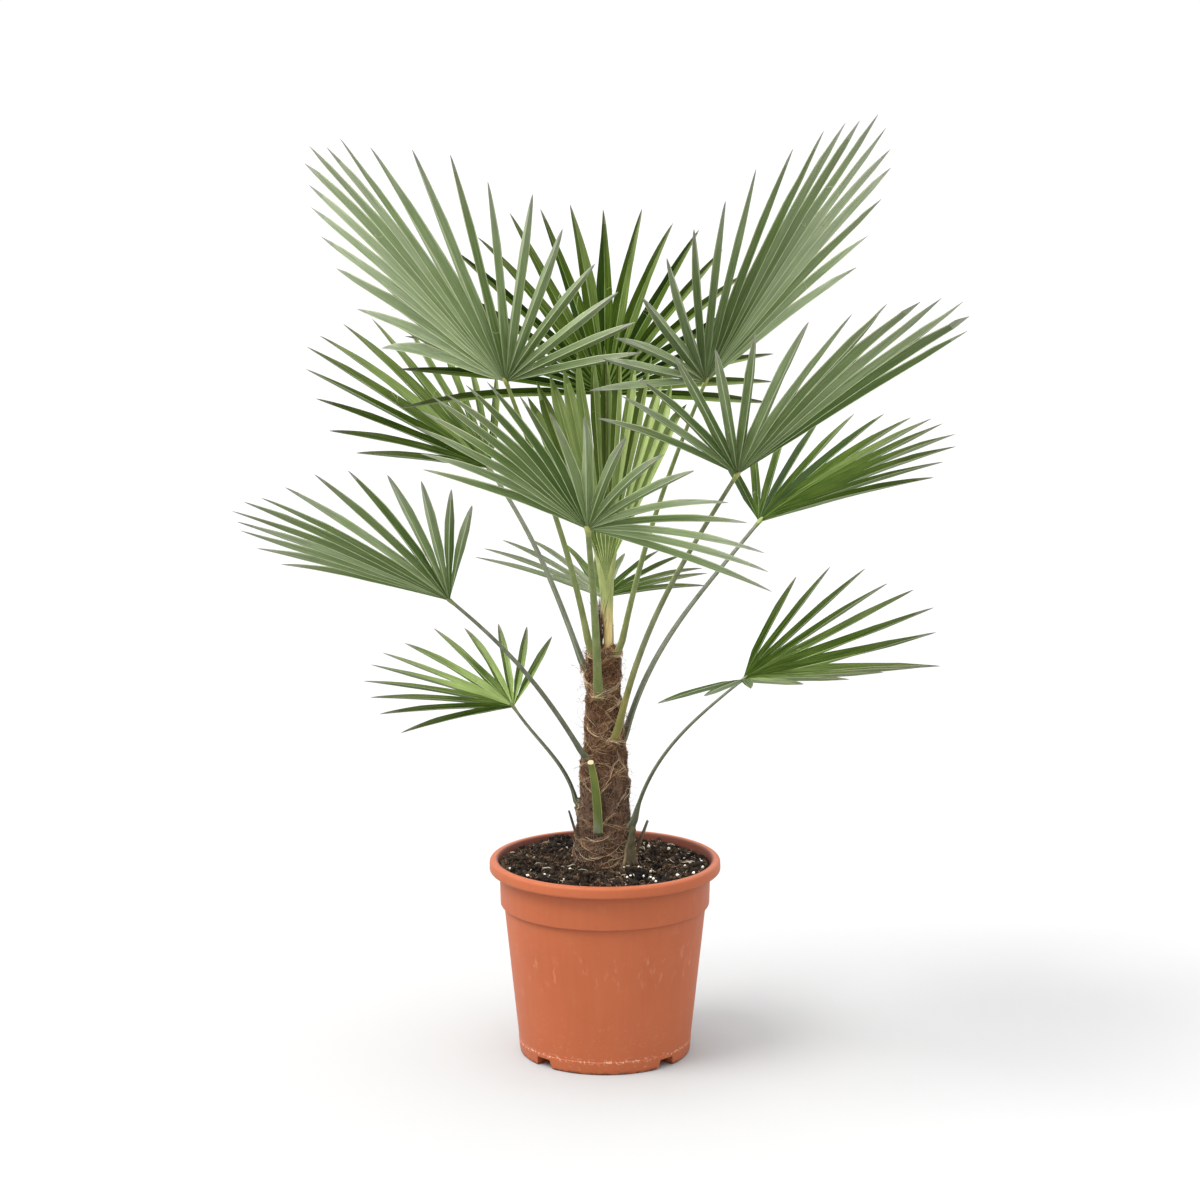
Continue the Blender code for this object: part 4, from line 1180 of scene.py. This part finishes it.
def petiole_mesh(frond, rng):
    *knots, end = petiole_knots(frond)
    foot = knots[0]
    spring_way = (knots[1] - foot).normalized()
    inward = -Vector((math.cos(frond.seat), math.sin(frond.seat), 0))
    path = [foot - spring_way * 0.0020 * step + inward * (0.0028 + 0.0030 * step) for step in (3, 2, 1)]
    shares = [(step / (PETIOLE_STATIONS - 1)) ** 1.1 for step in range(PETIOLE_STATIONS)]
    path += [bezier(knots, share) + inward * 0.0028 * max(0.0, 1 - share / 0.045) for share in shares]
    top = knots[-1]
    path += [top + end * reach for reach in (0.003, 0.006, 0.009, 0.012, 0.0145)]
    radii = [PETIOLE_BASE_RADIUS * (1 + frond.flare) * grow for grow in (0.86, 0.98, 1.0)]
    for share in shares:
        flare = 1 + frond.flare * max(0.0, 1 - share / 0.14) ** 1.2
        radii.append((PETIOLE_BASE_RADIUS + (PETIOLE_TIP_RADIUS - PETIOLE_BASE_RADIUS) * share) * flare)
    radii += [0.0026, 0.0029, 0.0031, 0.0026, 0.0012]
    radii = [radius * frond.girth for radius in radii]
    first_up = -inward
    uppers = [(-first_up).lerp(frond.upper, min(1.0, index / len(path) * 1.3)) for index in range(len(path))]
    heap = Heap()
    neck = PETIOLE_STATIONS + 2 - (12 if frond.name == "upper_left" else 0)
    half_round(heap, path, radii, uppers, lambda index: (index >= neck) + (index >= PETIOLE_STATIONS + 4), 3)
    for index in range(6, PETIOLE_STATIONS - 12):
        way = (path[index + 1] - path[index]).normalized()
        side = way.cross(uppers[index]).normalized()
        for sign in (-1, 1):
            if rng.random() < 0.45:
                continue
            root = path[index] + way * rng.uniform(0, 0.003) + side * sign * radii[index] * 0.93
            size = rng.uniform(0.0005, 0.0010) * (1 - 0.5 * index / PETIOLE_STATIONS)
            tip = root + side * sign * size * 1.3 + way * size * 0.9
            lift = side.cross(way) * size * 0.5
            heap.add([root - way * size, root + way * size, root + lift, tip], [(0, 2, 3), (2, 1, 3), (1, 0, 3)], 0)
    mesh = heap.mesh(f"{frond.name}_stalk")
    work = bmesh.new()
    work.from_mesh(mesh)
    bmesh.ops.remove_doubles(work, verts=work.verts, dist=1e-6)
    bmesh.ops.recalc_face_normals(work, faces=work.faces)
    work.to_mesh(mesh)
    work.free()
    shade_round(mesh, 50)
    return mesh


UPPER_TIP = (0.110, 0.128, 0.064)
UNDER_TIP = (0.185, 0.205, 0.142)
# Each skin's last but one value is its hub colour; for the upper skins it is far darker, painted shade of the crown's
# heart.
UPPER_GREENS = [
    leaf_skin("upper_darkest", (0.014, 0.036, 0.002), (0.034, 0.070, 0.005), 0.5, 0.12, None, (0.010, 0.028, 0.001),
              (0.050, 0.066, 0.022)),
    leaf_skin("upper_deep_green", (0.040, 0.072, 0.004), (0.082, 0.124, 0.013), 0.6, 0.08, None, (0.017, 0.040, 0.001),
              (0.080, 0.098, 0.042)),
    leaf_skin("upper_mid_green", (0.086, 0.128, 0.018), (0.155, 0.205, 0.050), 0.6, 0.12, None, (0.024, 0.052, 0.002),
              UPPER_TIP),
    leaf_skin("upper_fresh_green", (0.120, 0.175, 0.038), (0.190, 0.252, 0.082), 0.6, 0.12, None, None, UPPER_TIP),
    leaf_skin("upper_grey_green", (0.112, 0.140, 0.070), (0.190, 0.216, 0.132), 0.55, 0.2, None, None, UPPER_TIP),
]
UNDER_GREENS = [
    leaf_skin("under_bright", (0.200, 0.252, 0.138), (0.300, 0.355, 0.220), 0.55, 0.2, (0.190, 0.278, 0.088),
              (0.194, 0.270, 0.098), (0.215, 0.232, 0.172)),
    leaf_skin("under_soft", (0.145, 0.195, 0.085), (0.220, 0.275, 0.146), 0.55, 0.2, (0.155, 0.228, 0.064),
              (0.128, 0.194, 0.056), UNDER_TIP),
    leaf_skin("under_dark", (0.100, 0.146, 0.046), (0.158, 0.205, 0.086), 0.55, 0.2, (0.108, 0.168, 0.036),
              (0.084, 0.142, 0.030), (0.150, 0.166, 0.105)),
    leaf_skin("under_deep", (0.060, 0.100, 0.020), (0.104, 0.150, 0.042), 0.55, 0.2, None, (0.038, 0.088, 0.007),
              (0.095, 0.118, 0.056)),
]
RIBS = [
    plain_skin("rib_green", (0.120, 0.180, 0.045), (0.190, 0.260, 0.085)),
    plain_skin("rib_pale", (0.36, 0.41, 0.22), (0.48, 0.52, 0.32)),
]
FADED_UPPERS = [
    leaf_skin("upper_fading", (0.090, 0.110, 0.050), (0.140, 0.158, 0.084), 0.5, 0.2),
    leaf_skin("upper_greyed", (0.110, 0.120, 0.074), (0.170, 0.176, 0.118), 0.6, 0.2),
    leaf_skin("upper_dry", (0.145, 0.133, 0.108), (0.235, 0.215, 0.180), 0.7, 0.2),
]
FADED_UNDERS = [
    leaf_skin("under_fading", (0.160, 0.190, 0.118), (0.235, 0.262, 0.180), 0.6, 0.2),
    leaf_skin("under_greyed", (0.165, 0.178, 0.135), (0.245, 0.252, 0.205), 0.6, 0.2),
    leaf_skin("under_dry", (0.160, 0.150, 0.125), (0.265, 0.245, 0.210), 0.7, 0.2),
]
BLADE_LOOKS = UPPER_GREENS + UNDER_GREENS + RIBS + FADED_UPPERS + FADED_UNDERS
DARKEST, DEEP, MID, FRESH, GREY, PALE, SOFT, DARK, DEEPEST, RIB_UPPER, RIB_UNDER, FADED_UPPER = range(12)
FADED_UNDER = FADED_UPPER + 3
# The tone of the half that is turned away from the light, for each tone of the other half
SHADED = np.array([DARKEST, DARKEST, DEEP, MID, MID, SOFT, DARK, DEEPEST, DEEPEST])
# The tones each fan's leaflets take, above and below
# The deeper tones of the fans at the back stand partly for painted shade inside the crown.
TONES = {
    "upper_left": ((DEEP, MID), (PALE, PALE, PALE, SOFT)),
    "upper_right": ((DEEP, MID), (PALE, PALE, SOFT, SOFT, DARK)),
    "upper_back": ((DEEP, MID, MID), (SOFT, DARK)),
    "front": ((DEEP, MID), (PALE, SOFT, SOFT, DARK, DARK)),
    "left_back": ((MID, MID, FRESH), (SOFT, DARK)),
    "right_front": ((DEEP, MID), (SOFT, DARK, DARK, DEEPEST)),
    "right_back": ((DEEP, DEEP, MID), (SOFT, DARK)),
    "left_front": ((DEEP, MID), (PALE, SOFT, DARK, DARK)),
    "lower_left": ((MID, FRESH, FRESH), (SOFT, DARK)),
    "lower_right": ((MID, MID, FRESH), (SOFT, DARK)),
    "lower_back": ((GREY, GREY, MID), (PALE, SOFT)),
}


def stalk_skin(name, foot, rest, low, high, roughness=0.5):
    """Stalk skin that goes from the foot's colours at the height low to the others at the height high."""
    made, tree, shader = finish(name, roughness, 0.4)
    where = place(tree)
    height = node(tree, "ShaderNodeSeparateXYZ", {0: where}).outputs["Z"]
    up = spread(tree, height, low, high)
    mottle = cloud(tree, place(tree, (1.0, 1.0, 0.3)), 130.0, 4.0)
    colour = tint(tree, mottle, tint(tree, up, foot[0], rest[0]), tint(tree, up, foot[1], rest[1]))
    streaks = cloud(tree, place(tree, (1.0, 1.0, 0.06)), 900.0, 3.0, 0.50, 0.66)
    colour = tint(tree, times(tree, streaks, 0.35), colour, tuple(c * 0.55 for c in rest[0]))
    feed(tree, shader, colour, relief(tree, streaks, 0.0002, 0.5))
    return made


stalk_fresh = stalk_skin("stalk_fresh", ((0.145, 0.150, 0.030), (0.240, 0.232, 0.070)),
                         ((0.122, 0.158, 0.040), (0.205, 0.245, 0.088)), 0.40, 0.50)
stalk_olive = stalk_skin("stalk_olive", ((0.135, 0.128, 0.022), (0.225, 0.205, 0.048)),
                         ((0.110, 0.132, 0.050), (0.195, 0.214, 0.110)), 0.375, 0.45)
stalk_slate = stalk_skin("stalk_slate", ((0.048, 0.056, 0.026), (0.098, 0.106, 0.060)),
                         ((0.090, 0.108, 0.060), (0.170, 0.186, 0.130)), 0.25, 0.46)
stalk_front = stalk_skin("stalk_front", ((0.070, 0.092, 0.014), (0.138, 0.162, 0.036)),
                         ((0.122, 0.158, 0.040), (0.205, 0.245, 0.088)), 0.365, 0.460)
stalk_shaded = stalk_skin("stalk_shaded", ((0.040, 0.045, 0.012), (0.085, 0.090, 0.030)),
                          ((0.060, 0.082, 0.022), (0.110, 0.135, 0.050)), 0.43, 0.55)
stalk_margin = plain_skin("stalk_margin", (0.22, 0.27, 0.09), (0.33, 0.37, 0.17), 0.5)
slate_margin = plain_skin("slate_margin", (0.13, 0.155, 0.085), (0.215, 0.235, 0.155), 0.5)
stalk_neck = plain_skin("stalk_neck", (0.19, 0.24, 0.06), (0.28, 0.33, 0.10), 0.5)
stalk_head = plain_skin("stalk_head", (0.27, 0.29, 0.07), (0.40, 0.39, 0.12), 0.5)
slate_neck = plain_skin("slate_neck", (0.105, 0.125, 0.045), (0.185, 0.205, 0.090), 0.5)
STALKS = {"upper_left": stalk_fresh, "upper_right": stalk_fresh, "upper_back": stalk_shaded, "front": stalk_front,
          "right_front": stalk_olive}

for frond in FRONDS:
    rng = random.Random(frond.name)
    heap = LeafHeap()
    uppers, unders = TONES[frond.name]
    slits = slit_places(frond, rng)
    for index in range(frond.leaflets):
        marks = (rng.choice(uppers), rng.choice(unders))
        half_width = LEAFLET_HALF_WIDTH * frond.narrow
        leaflet_shell(frond, index, rng, heap, slits[index:index + 2], FOLD_SLOPE, half_width, marks)
    name = frond.name
    add_piece(f"{name}_fan", heap.mesh(f"{name}_fan"), BLADE_LOOKS, [f"{name}_blade"])
    stalk = STALKS.get(name, stalk_slate)
    stalk_looks = [stalk, stalk_neck, stalk_head, stalk_margin]
    if name not in STALKS:
        stalk_looks = [stalk, slate_neck, stalk_neck if name == "right_back" else slate_neck, slate_margin]
    add_piece(f"{name}_stalk", petiole_mesh(frond, rng), stalk_looks, [f"{name}_petiole"])

seats = [(frond.seat, frond.height + 0.001, PETIOLE_BASE_RADIUS * frond.girth) for frond in FRONDS]
add_piece("stalk_ties", stalk_ties(seats), THREADS, [])


def sheath_foot(frond, drop, foot_half):
    """The foot of an old stalk: it widens downwards into a thin split sheath that clasps the trunk."""
    rows, columns = 16, 11
    skins = []
    for lift in (0.0010, 0.0):
        for row in range(rows):
            fall = row / (rows - 1)
            height = frond.height + 0.006 - (drop + 0.006) * fall
            half = PETIOLE_BASE_RADIUS * frond.girth * 1.05 + foot_half * fall**1.4
            for column in range(columns):
                across = column / (columns - 1) * 2 - 1
                angle = frond.seat - 0.30 * fall + across * half / trunk_radius(height)
                crown = 2 * PETIOLE_BASE_RADIUS * frond.girth * (1 - fall) ** 1.5 * math.sqrt(1 - across**2 * 0.98)
                skins.append(trunk_point(angle, max(height, TRUNK_FOOT), 0.0008 + crown + lift))
                skins[-1].z = height + 0.002 * abs(across)
    below = rows * columns
    faces, marks = [], []
    for row in range(rows - 1):
        for column in range(columns - 1):
            a = row * columns + column
            square = (a, a + columns, a + columns + 1, a + 1)
            faces += [square, tuple(below + corner for corner in square[::-1])]
            marks += [1 if column in (0, columns - 2) else 0] * 2
        for column, order in ((0, 1), (columns - 1, -1)):
            a = row * columns + column
            faces.append((a, a + below, a + columns + below, a + columns)[::order])
            marks.append(1)
    for row, order in ((0, 1), (rows - 1, -1)):
        for column in range(columns - 1):
            a = row * columns + column
            faces.append((a, a + 1, a + 1 + below, a + below)[::order])
            marks.append(0)
    mesh = bpy.data.meshes.new(f"{frond.name}_sheath")
    mesh.from_pydata([tuple(point) for point in skins], [], faces)
    mesh.polygons.foreach_set("material_index", marks)
    mesh.shade_smooth()
    return mesh


sheath_olive = stalk_skin("sheath_olive", ((0.040, 0.030, 0.011), (0.105, 0.078, 0.032)),
                          ((0.056, 0.050, 0.018), (0.108, 0.094, 0.040)), 0.218, 0.240, 0.7)
sheath_margin = stalk_skin("sheath_margin", ((0.09, 0.062, 0.030), (0.20, 0.145, 0.075)),
                           ((0.055, 0.060, 0.028), (0.120, 0.120, 0.065)), 0.216, 0.236, 0.8)
for frond in FRONDS:
    if frond.name in ("lower_left", "lower_right"):
        foot_half = 0.011 if frond.name == "lower_right" else 0.005
        add_piece(f"{frond.name}_sheath", sheath_foot(frond, 0.044, foot_half), [sheath_olive, sheath_margin], [])


# The newest leaf stands in the middle on a stout stalk that widens into its blade. The pleats are pressed
# together above the split in the stalk's skin, and open into bright strips at the top.

YOUNG_HALF_WIDTH = 0.0066
YOUNG_SLITS = (5, 8, 10)
YOUNG_CLOSED = 0.80
# Height, half-width and half-depth of the stalk and of the closed foot of the blade
YOUNG_STEM = (
    (0.427, 0.0047, 0.0044),
    (0.448, 0.0048, 0.0046),
    (0.466, 0.0062, 0.0054),
    (0.482, 0.0069, 0.0058),
    (0.502, 0.0084, 0.0064),
    (0.516, 0.0100, 0.0068),
    (0.546, 0.0146, 0.0080),
    (0.558, 0.0166, 0.0086),
)
YOUNG_ROWS = 110
YOUNG_PLEATS = 8
YOUNG_SPLIT = 0.498
young = Frond("young", 13, (0.001, 0.002, 0.503), 90, 84, 0, 0.235, 58, 40, 0.90, 0.004, 0.0, 0.60, 0.0)


def young_stem():
    """The stalk, and above the split in its skin the pleats with their pale folds, smooth skin on both sides."""
    fold = 6
    shares = [step / (YOUNG_PLEATS * fold) * 2 - 1 for step in range(YOUNG_PLEATS * fold + 1)]
    sides = 7
    around = 2 * (len(shares) + sides - 1)
    points, faces, marks = [], [], []
    heights, wides, deeps = zip(*YOUNG_STEM)
    for row in range(YOUNG_ROWS + 1):
        height = heights[0] + (heights[-1] - heights[0]) * row / YOUNG_ROWS
        wide, deep = np.interp(height, heights, wides), np.interp(height, heights, deeps)
        x, y = 0.0030 - 0.030 * max(0.0, height - 0.44), 0.002
        opened = min(1.0, max(0.0, (height - YOUNG_SPLIT) / 0.046))
        limit = math.radians(3 + 71 * opened)
        for half in (0, 1):
            for step in range(around // 2):
                if step < len(shares):
                    angle = shares[step] * limit
                    raised = opened * (0.0006 * (0.5 + 0.5 * math.cos(math.tau * step / fold)) ** 2 - 0.0004)
                else:
                    share = (step - len(shares) + 1) / sides
                    angle = limit + (math.pi - 2 * limit) * share
                    raised = 0.0004 * opened * math.sin(math.pi * share)
                angle += half * math.pi
                depth = (deep + raised) * (1 - 0.85 * half * min(1.0, max(0.0, (height - 0.512) / 0.044)))
                points.append((x + (wide + raised) * math.sin(angle), y - depth * math.cos(angle), height))
        if row == YOUNG_ROWS:
            break
        for column in range(around):
            after = (column + 1) % around
            a, b = row * around, (row + 1) * around
            faces.append((a + column, a + after, b + after, b + column))
            step = column % (around // 2)
            if step >= len(shares) - 1 or not opened:
                marks.append(0)
            elif step in (0, len(shares) - 2) and opened < 0.7:
                marks.append(3)
            else:
                marks.append((0 if column >= around // 2 else 2) if step % fold == 0 else 1)
    faces += [tuple(range(around))[::-1], tuple(YOUNG_ROWS * around + column for column in range(around))]
    marks += [0, 0]
    mesh = bpy.data.meshes.new("young_stem")
    mesh.from_pydata(points, [], faces)
    mesh.polygons.foreach_set("material_index", marks)
    mesh.shade_smooth()
    return mesh


young_pale = leaf_skin("young_pale", (0.230, 0.305, 0.095), (0.370, 0.460, 0.180), 0.5, 0.2)
young_mid = leaf_skin("young_mid", (0.140, 0.198, 0.048), (0.235, 0.305, 0.105), 0.5, 0.2)
young_deep = leaf_skin("young_deep", (0.050, 0.086, 0.010), (0.095, 0.140, 0.026), 0.5, 0.2)
young_fold = plain_skin("young_fold", (0.40, 0.46, 0.17), (0.55, 0.60, 0.28))
YOUNG_LOOKS = [young_deep, young_deep, young_mid, young_pale, young_pale, young_pale, young_mid, young_deep, young_deep,
               young_fold, young_fold] + [young_mid] * 6
rng = random.Random("young")
heap = LeafHeap()
slits = slit_places(young, rng)
for index in range(1, young.leaflets):
    if index not in YOUNG_SLITS:
        slits[index] = YOUNG_CLOSED * young.radius
for index in range(young.leaflets):
    # The inner leaflets, down in the trough of the cupped fan, take darker tones that are partly painted shade.
    inner = YOUNG_SLITS[0] <= index < YOUNG_SLITS[1]
    marks = (MID if inner else rng.choice((MID, FRESH, FRESH)), SOFT if inner else rng.choice((PALE, SOFT)))
    leaflet_shell(young, index, rng, heap, slits[index:index + 2], 1.1, YOUNG_HALF_WIDTH, marks)
add_piece("young_fan", heap.mesh("young_fan"), YOUNG_LOOKS, ["young_blade"])
young_skin = stalk_skin("young_skin", ((0.60, 0.45, 0.17), (0.78, 0.61, 0.29)),
                        ((0.235, 0.280, 0.080), (0.370, 0.405, 0.155)), 0.452, 0.478)
young_groove = plain_skin("young_groove", (0.080, 0.125, 0.016), (0.150, 0.205, 0.042))
young_crack = plain_skin("young_crack", (0.085, 0.070, 0.018), (0.160, 0.135, 0.045))
stem_looks = [young_skin, young_groove, young_fold, young_crack]
add_piece("young_stem", young_stem(), stem_looks, ["young_stalk"])


def slit_threads():
    """Fine threads that the opening leaves tear loose from their edges, curled at the feet of the slits."""
    rng = random.Random(31)
    heap = Heap()
    for frond in FRONDS + [young]:
        for _ in range(THREADS_AT.get(frond.name, 2)):
            share = rng.uniform(-0.9, 0.9)
            reach = frond.joined_at(share) * rng.uniform(0.95, 1.25)
            start = Vector(frond.point(np.array([share]), np.array([reach]))[0])
            way = Vector((rng.uniform(-1, 1), rng.uniform(-1, 1), rng.uniform(-0.2, 1))).normalized()
            path = curled(rng, start, way, rng.uniform(0.0012, 0.0026), 11, 0.03, 0.7)
            strand(heap, path, [0.00022 * (1 - 0.06 * step) for step in range(11)], 0, 3)
    return heap.mesh("slit_threads")


THREADS_AT = {"upper_back": 12, "left_back": 9, "young": 12, "upper_left": 6, "upper_right": 6, "front": 5}
thread_fresh = plain_skin("thread_fresh", (0.42, 0.44, 0.22), (0.62, 0.62, 0.40), 0.8)
add_piece("slit_threads", slit_threads(), [thread_fresh], [])


# Three old petioles were cut off short and left standing against the trunk: a green one in front with a
# cream cut face, and two small grey ones at the sides.

STUBS = (
    ("stub_front", 258, 0.242, 0.004, -0.007, 0.074, 0.0045),
    ("stub_left", 200, 0.230, 0.009, 0.000, 0.030, 0.0018),
    ("stub_right", 355, 0.215, 0.011, 0.000, 0.032, 0.0024),
)
stub_green = stalk_skin("stub_green", ((0.075, 0.105, 0.050), (0.150, 0.165, 0.095)),
                        ((0.054, 0.084, 0.005), (0.122, 0.146, 0.016)), 0.244, 0.262)
stub_edge = plain_skin("stub_edge", (0.21, 0.21, 0.045), (0.33, 0.31, 0.085))
stub_grey = stalk_skin("stub_grey", ((0.115, 0.075, 0.040), (0.220, 0.155, 0.085)),
                       ((0.042, 0.050, 0.048), (0.100, 0.110, 0.100)), 0.234, 0.252)
cut_cream = plain_skin("cut_cream", (0.50, 0.40, 0.24), (0.66, 0.56, 0.38), 0.8)
STUB_STEPS = 18

for name, azimuth, height, out, aside, rise, radius in STUBS:
    turn = math.radians(azimuth)
    away = Vector((math.cos(turn), math.sin(turn), 0))
    around = Vector((-math.sin(turn), math.cos(turn), 0))
    foot = trunk_centre(height) + away * (trunk_radius(height) + radius + GAP)
    path = [foot - away * 0.0035 * step - Vector((0, 0, 0.002 * step)) for step in (2, 1)]
    path += [foot + away * out * share + around * aside * share**2.4 + Vector((0, 0, rise * share))
             for share in (step / STUB_STEPS for step in range(STUB_STEPS + 1))]
    radii = [radius * grow for grow in (0.9, 1.05)]
    radii += [radius * (1.08 - 0.36 * (step / STUB_STEPS) ** 2) for step in range(STUB_STEPS + 1)]
    heap = Heap()
    last = len(path) - 1
    half_round(heap, path, radii, [away] * len(path), lambda index: 1 if index == last else 0, 2)
    top = path[-1]
    for index, point in enumerate(heap.points):
        if point[2] > top.z - 0.0008:
            outward = (Vector(point) - top).dot(away)
            heap.points[index] = (point[0], point[1], top.z - max(-0.5 * radius, outward) * 0.9 - 0.001)
    green = name == "stub_front"
    looks = [stub_green, cut_cream, stub_edge] if green else [stub_grey, stub_grey, stub_grey]
    add_piece(f"{name}_cut", heap.mesh(f"{name}_cut"), looks, [name])


# The studio is a plain white floor that runs to the horizon, with a broad soft key light from the left and
# even white light all round. The camera stands three metres off and looks a little down, as in the photograph.

FLOOR_HALF = 60.0
CAMERA_PLACE = (-0.0052, -2.973, 1.002)
CAMERA_DOWN = 10.0
LENS = 88.47
SENSOR = 36.0
SKY_STRENGTH = (1.02, 2.9)

floor_look, floor_tree, floor_shader = finish("studio_floor", 0.9, 0.0)
floor_grain = cloud(floor_tree, place(floor_tree), 0.8, 2.0)
feed(floor_tree, floor_shader, tint(floor_tree, floor_grain, (0.390, 0.392, 0.394), (0.396, 0.398, 0.400)))
floor_mesh = bpy.data.meshes.new("studio_floor")
corners = [(-1, -1), (1, -1), (1, 1), (-1, 1)]
floor_mesh.from_pydata([(x * FLOOR_HALF, y * FLOOR_HALF, -0.0002) for x, y in corners], [], [(0, 1, 2, 3)])
floor_mesh.materials.append(floor_look)
floor = bpy.data.objects.new("studio_floor", floor_mesh)
bpy.context.scene.collection.objects.link(floor)

world = bpy.data.worlds.new("studio")
world.use_nodes = True
sky = world.node_tree
sky_way = node(sky, "ShaderNodeTexCoord").outputs["Generated"]
sky_height = node(sky, "ShaderNodeSeparateXYZ", {0: sky_way}).outputs["Z"]
sky.nodes["Background"].inputs["Color"].default_value = (1.0, 1.0, 1.0, 1.0)
overhead = times(sky, sky_height, sky_height)
sky.links.new(spread(sky, overhead, 0.0, 1.0, *SKY_STRENGTH), sky.nodes["Background"].inputs["Strength"])
bpy.context.scene.world = world

key = bpy.data.lights.new("key", "SUN")
key.energy = 3.2
key.angle = math.radians(34)
key.color = (1.0, 0.99, 0.97)
key_place = bpy.data.objects.new("key", key)
key_place.rotation_euler = Vector((0.60, 0.28, -1.0)).to_track_quat("-Z", "Y").to_euler()
bpy.context.scene.collection.objects.link(key_place)

lens = bpy.data.cameras.new("camera")
lens.sensor_fit = "HORIZONTAL"
lens.sensor_width = SENSOR
lens.lens = LENS
camera = bpy.data.objects.new("camera", lens)
camera.location = CAMERA_PLACE
camera.rotation_euler = (math.radians(90 - CAMERA_DOWN), 0, 0)
bpy.context.scene.collection.objects.link(camera)
bpy.context.scene.camera = camera
bpy.context.scene.view_settings.view_transform = "Standard"
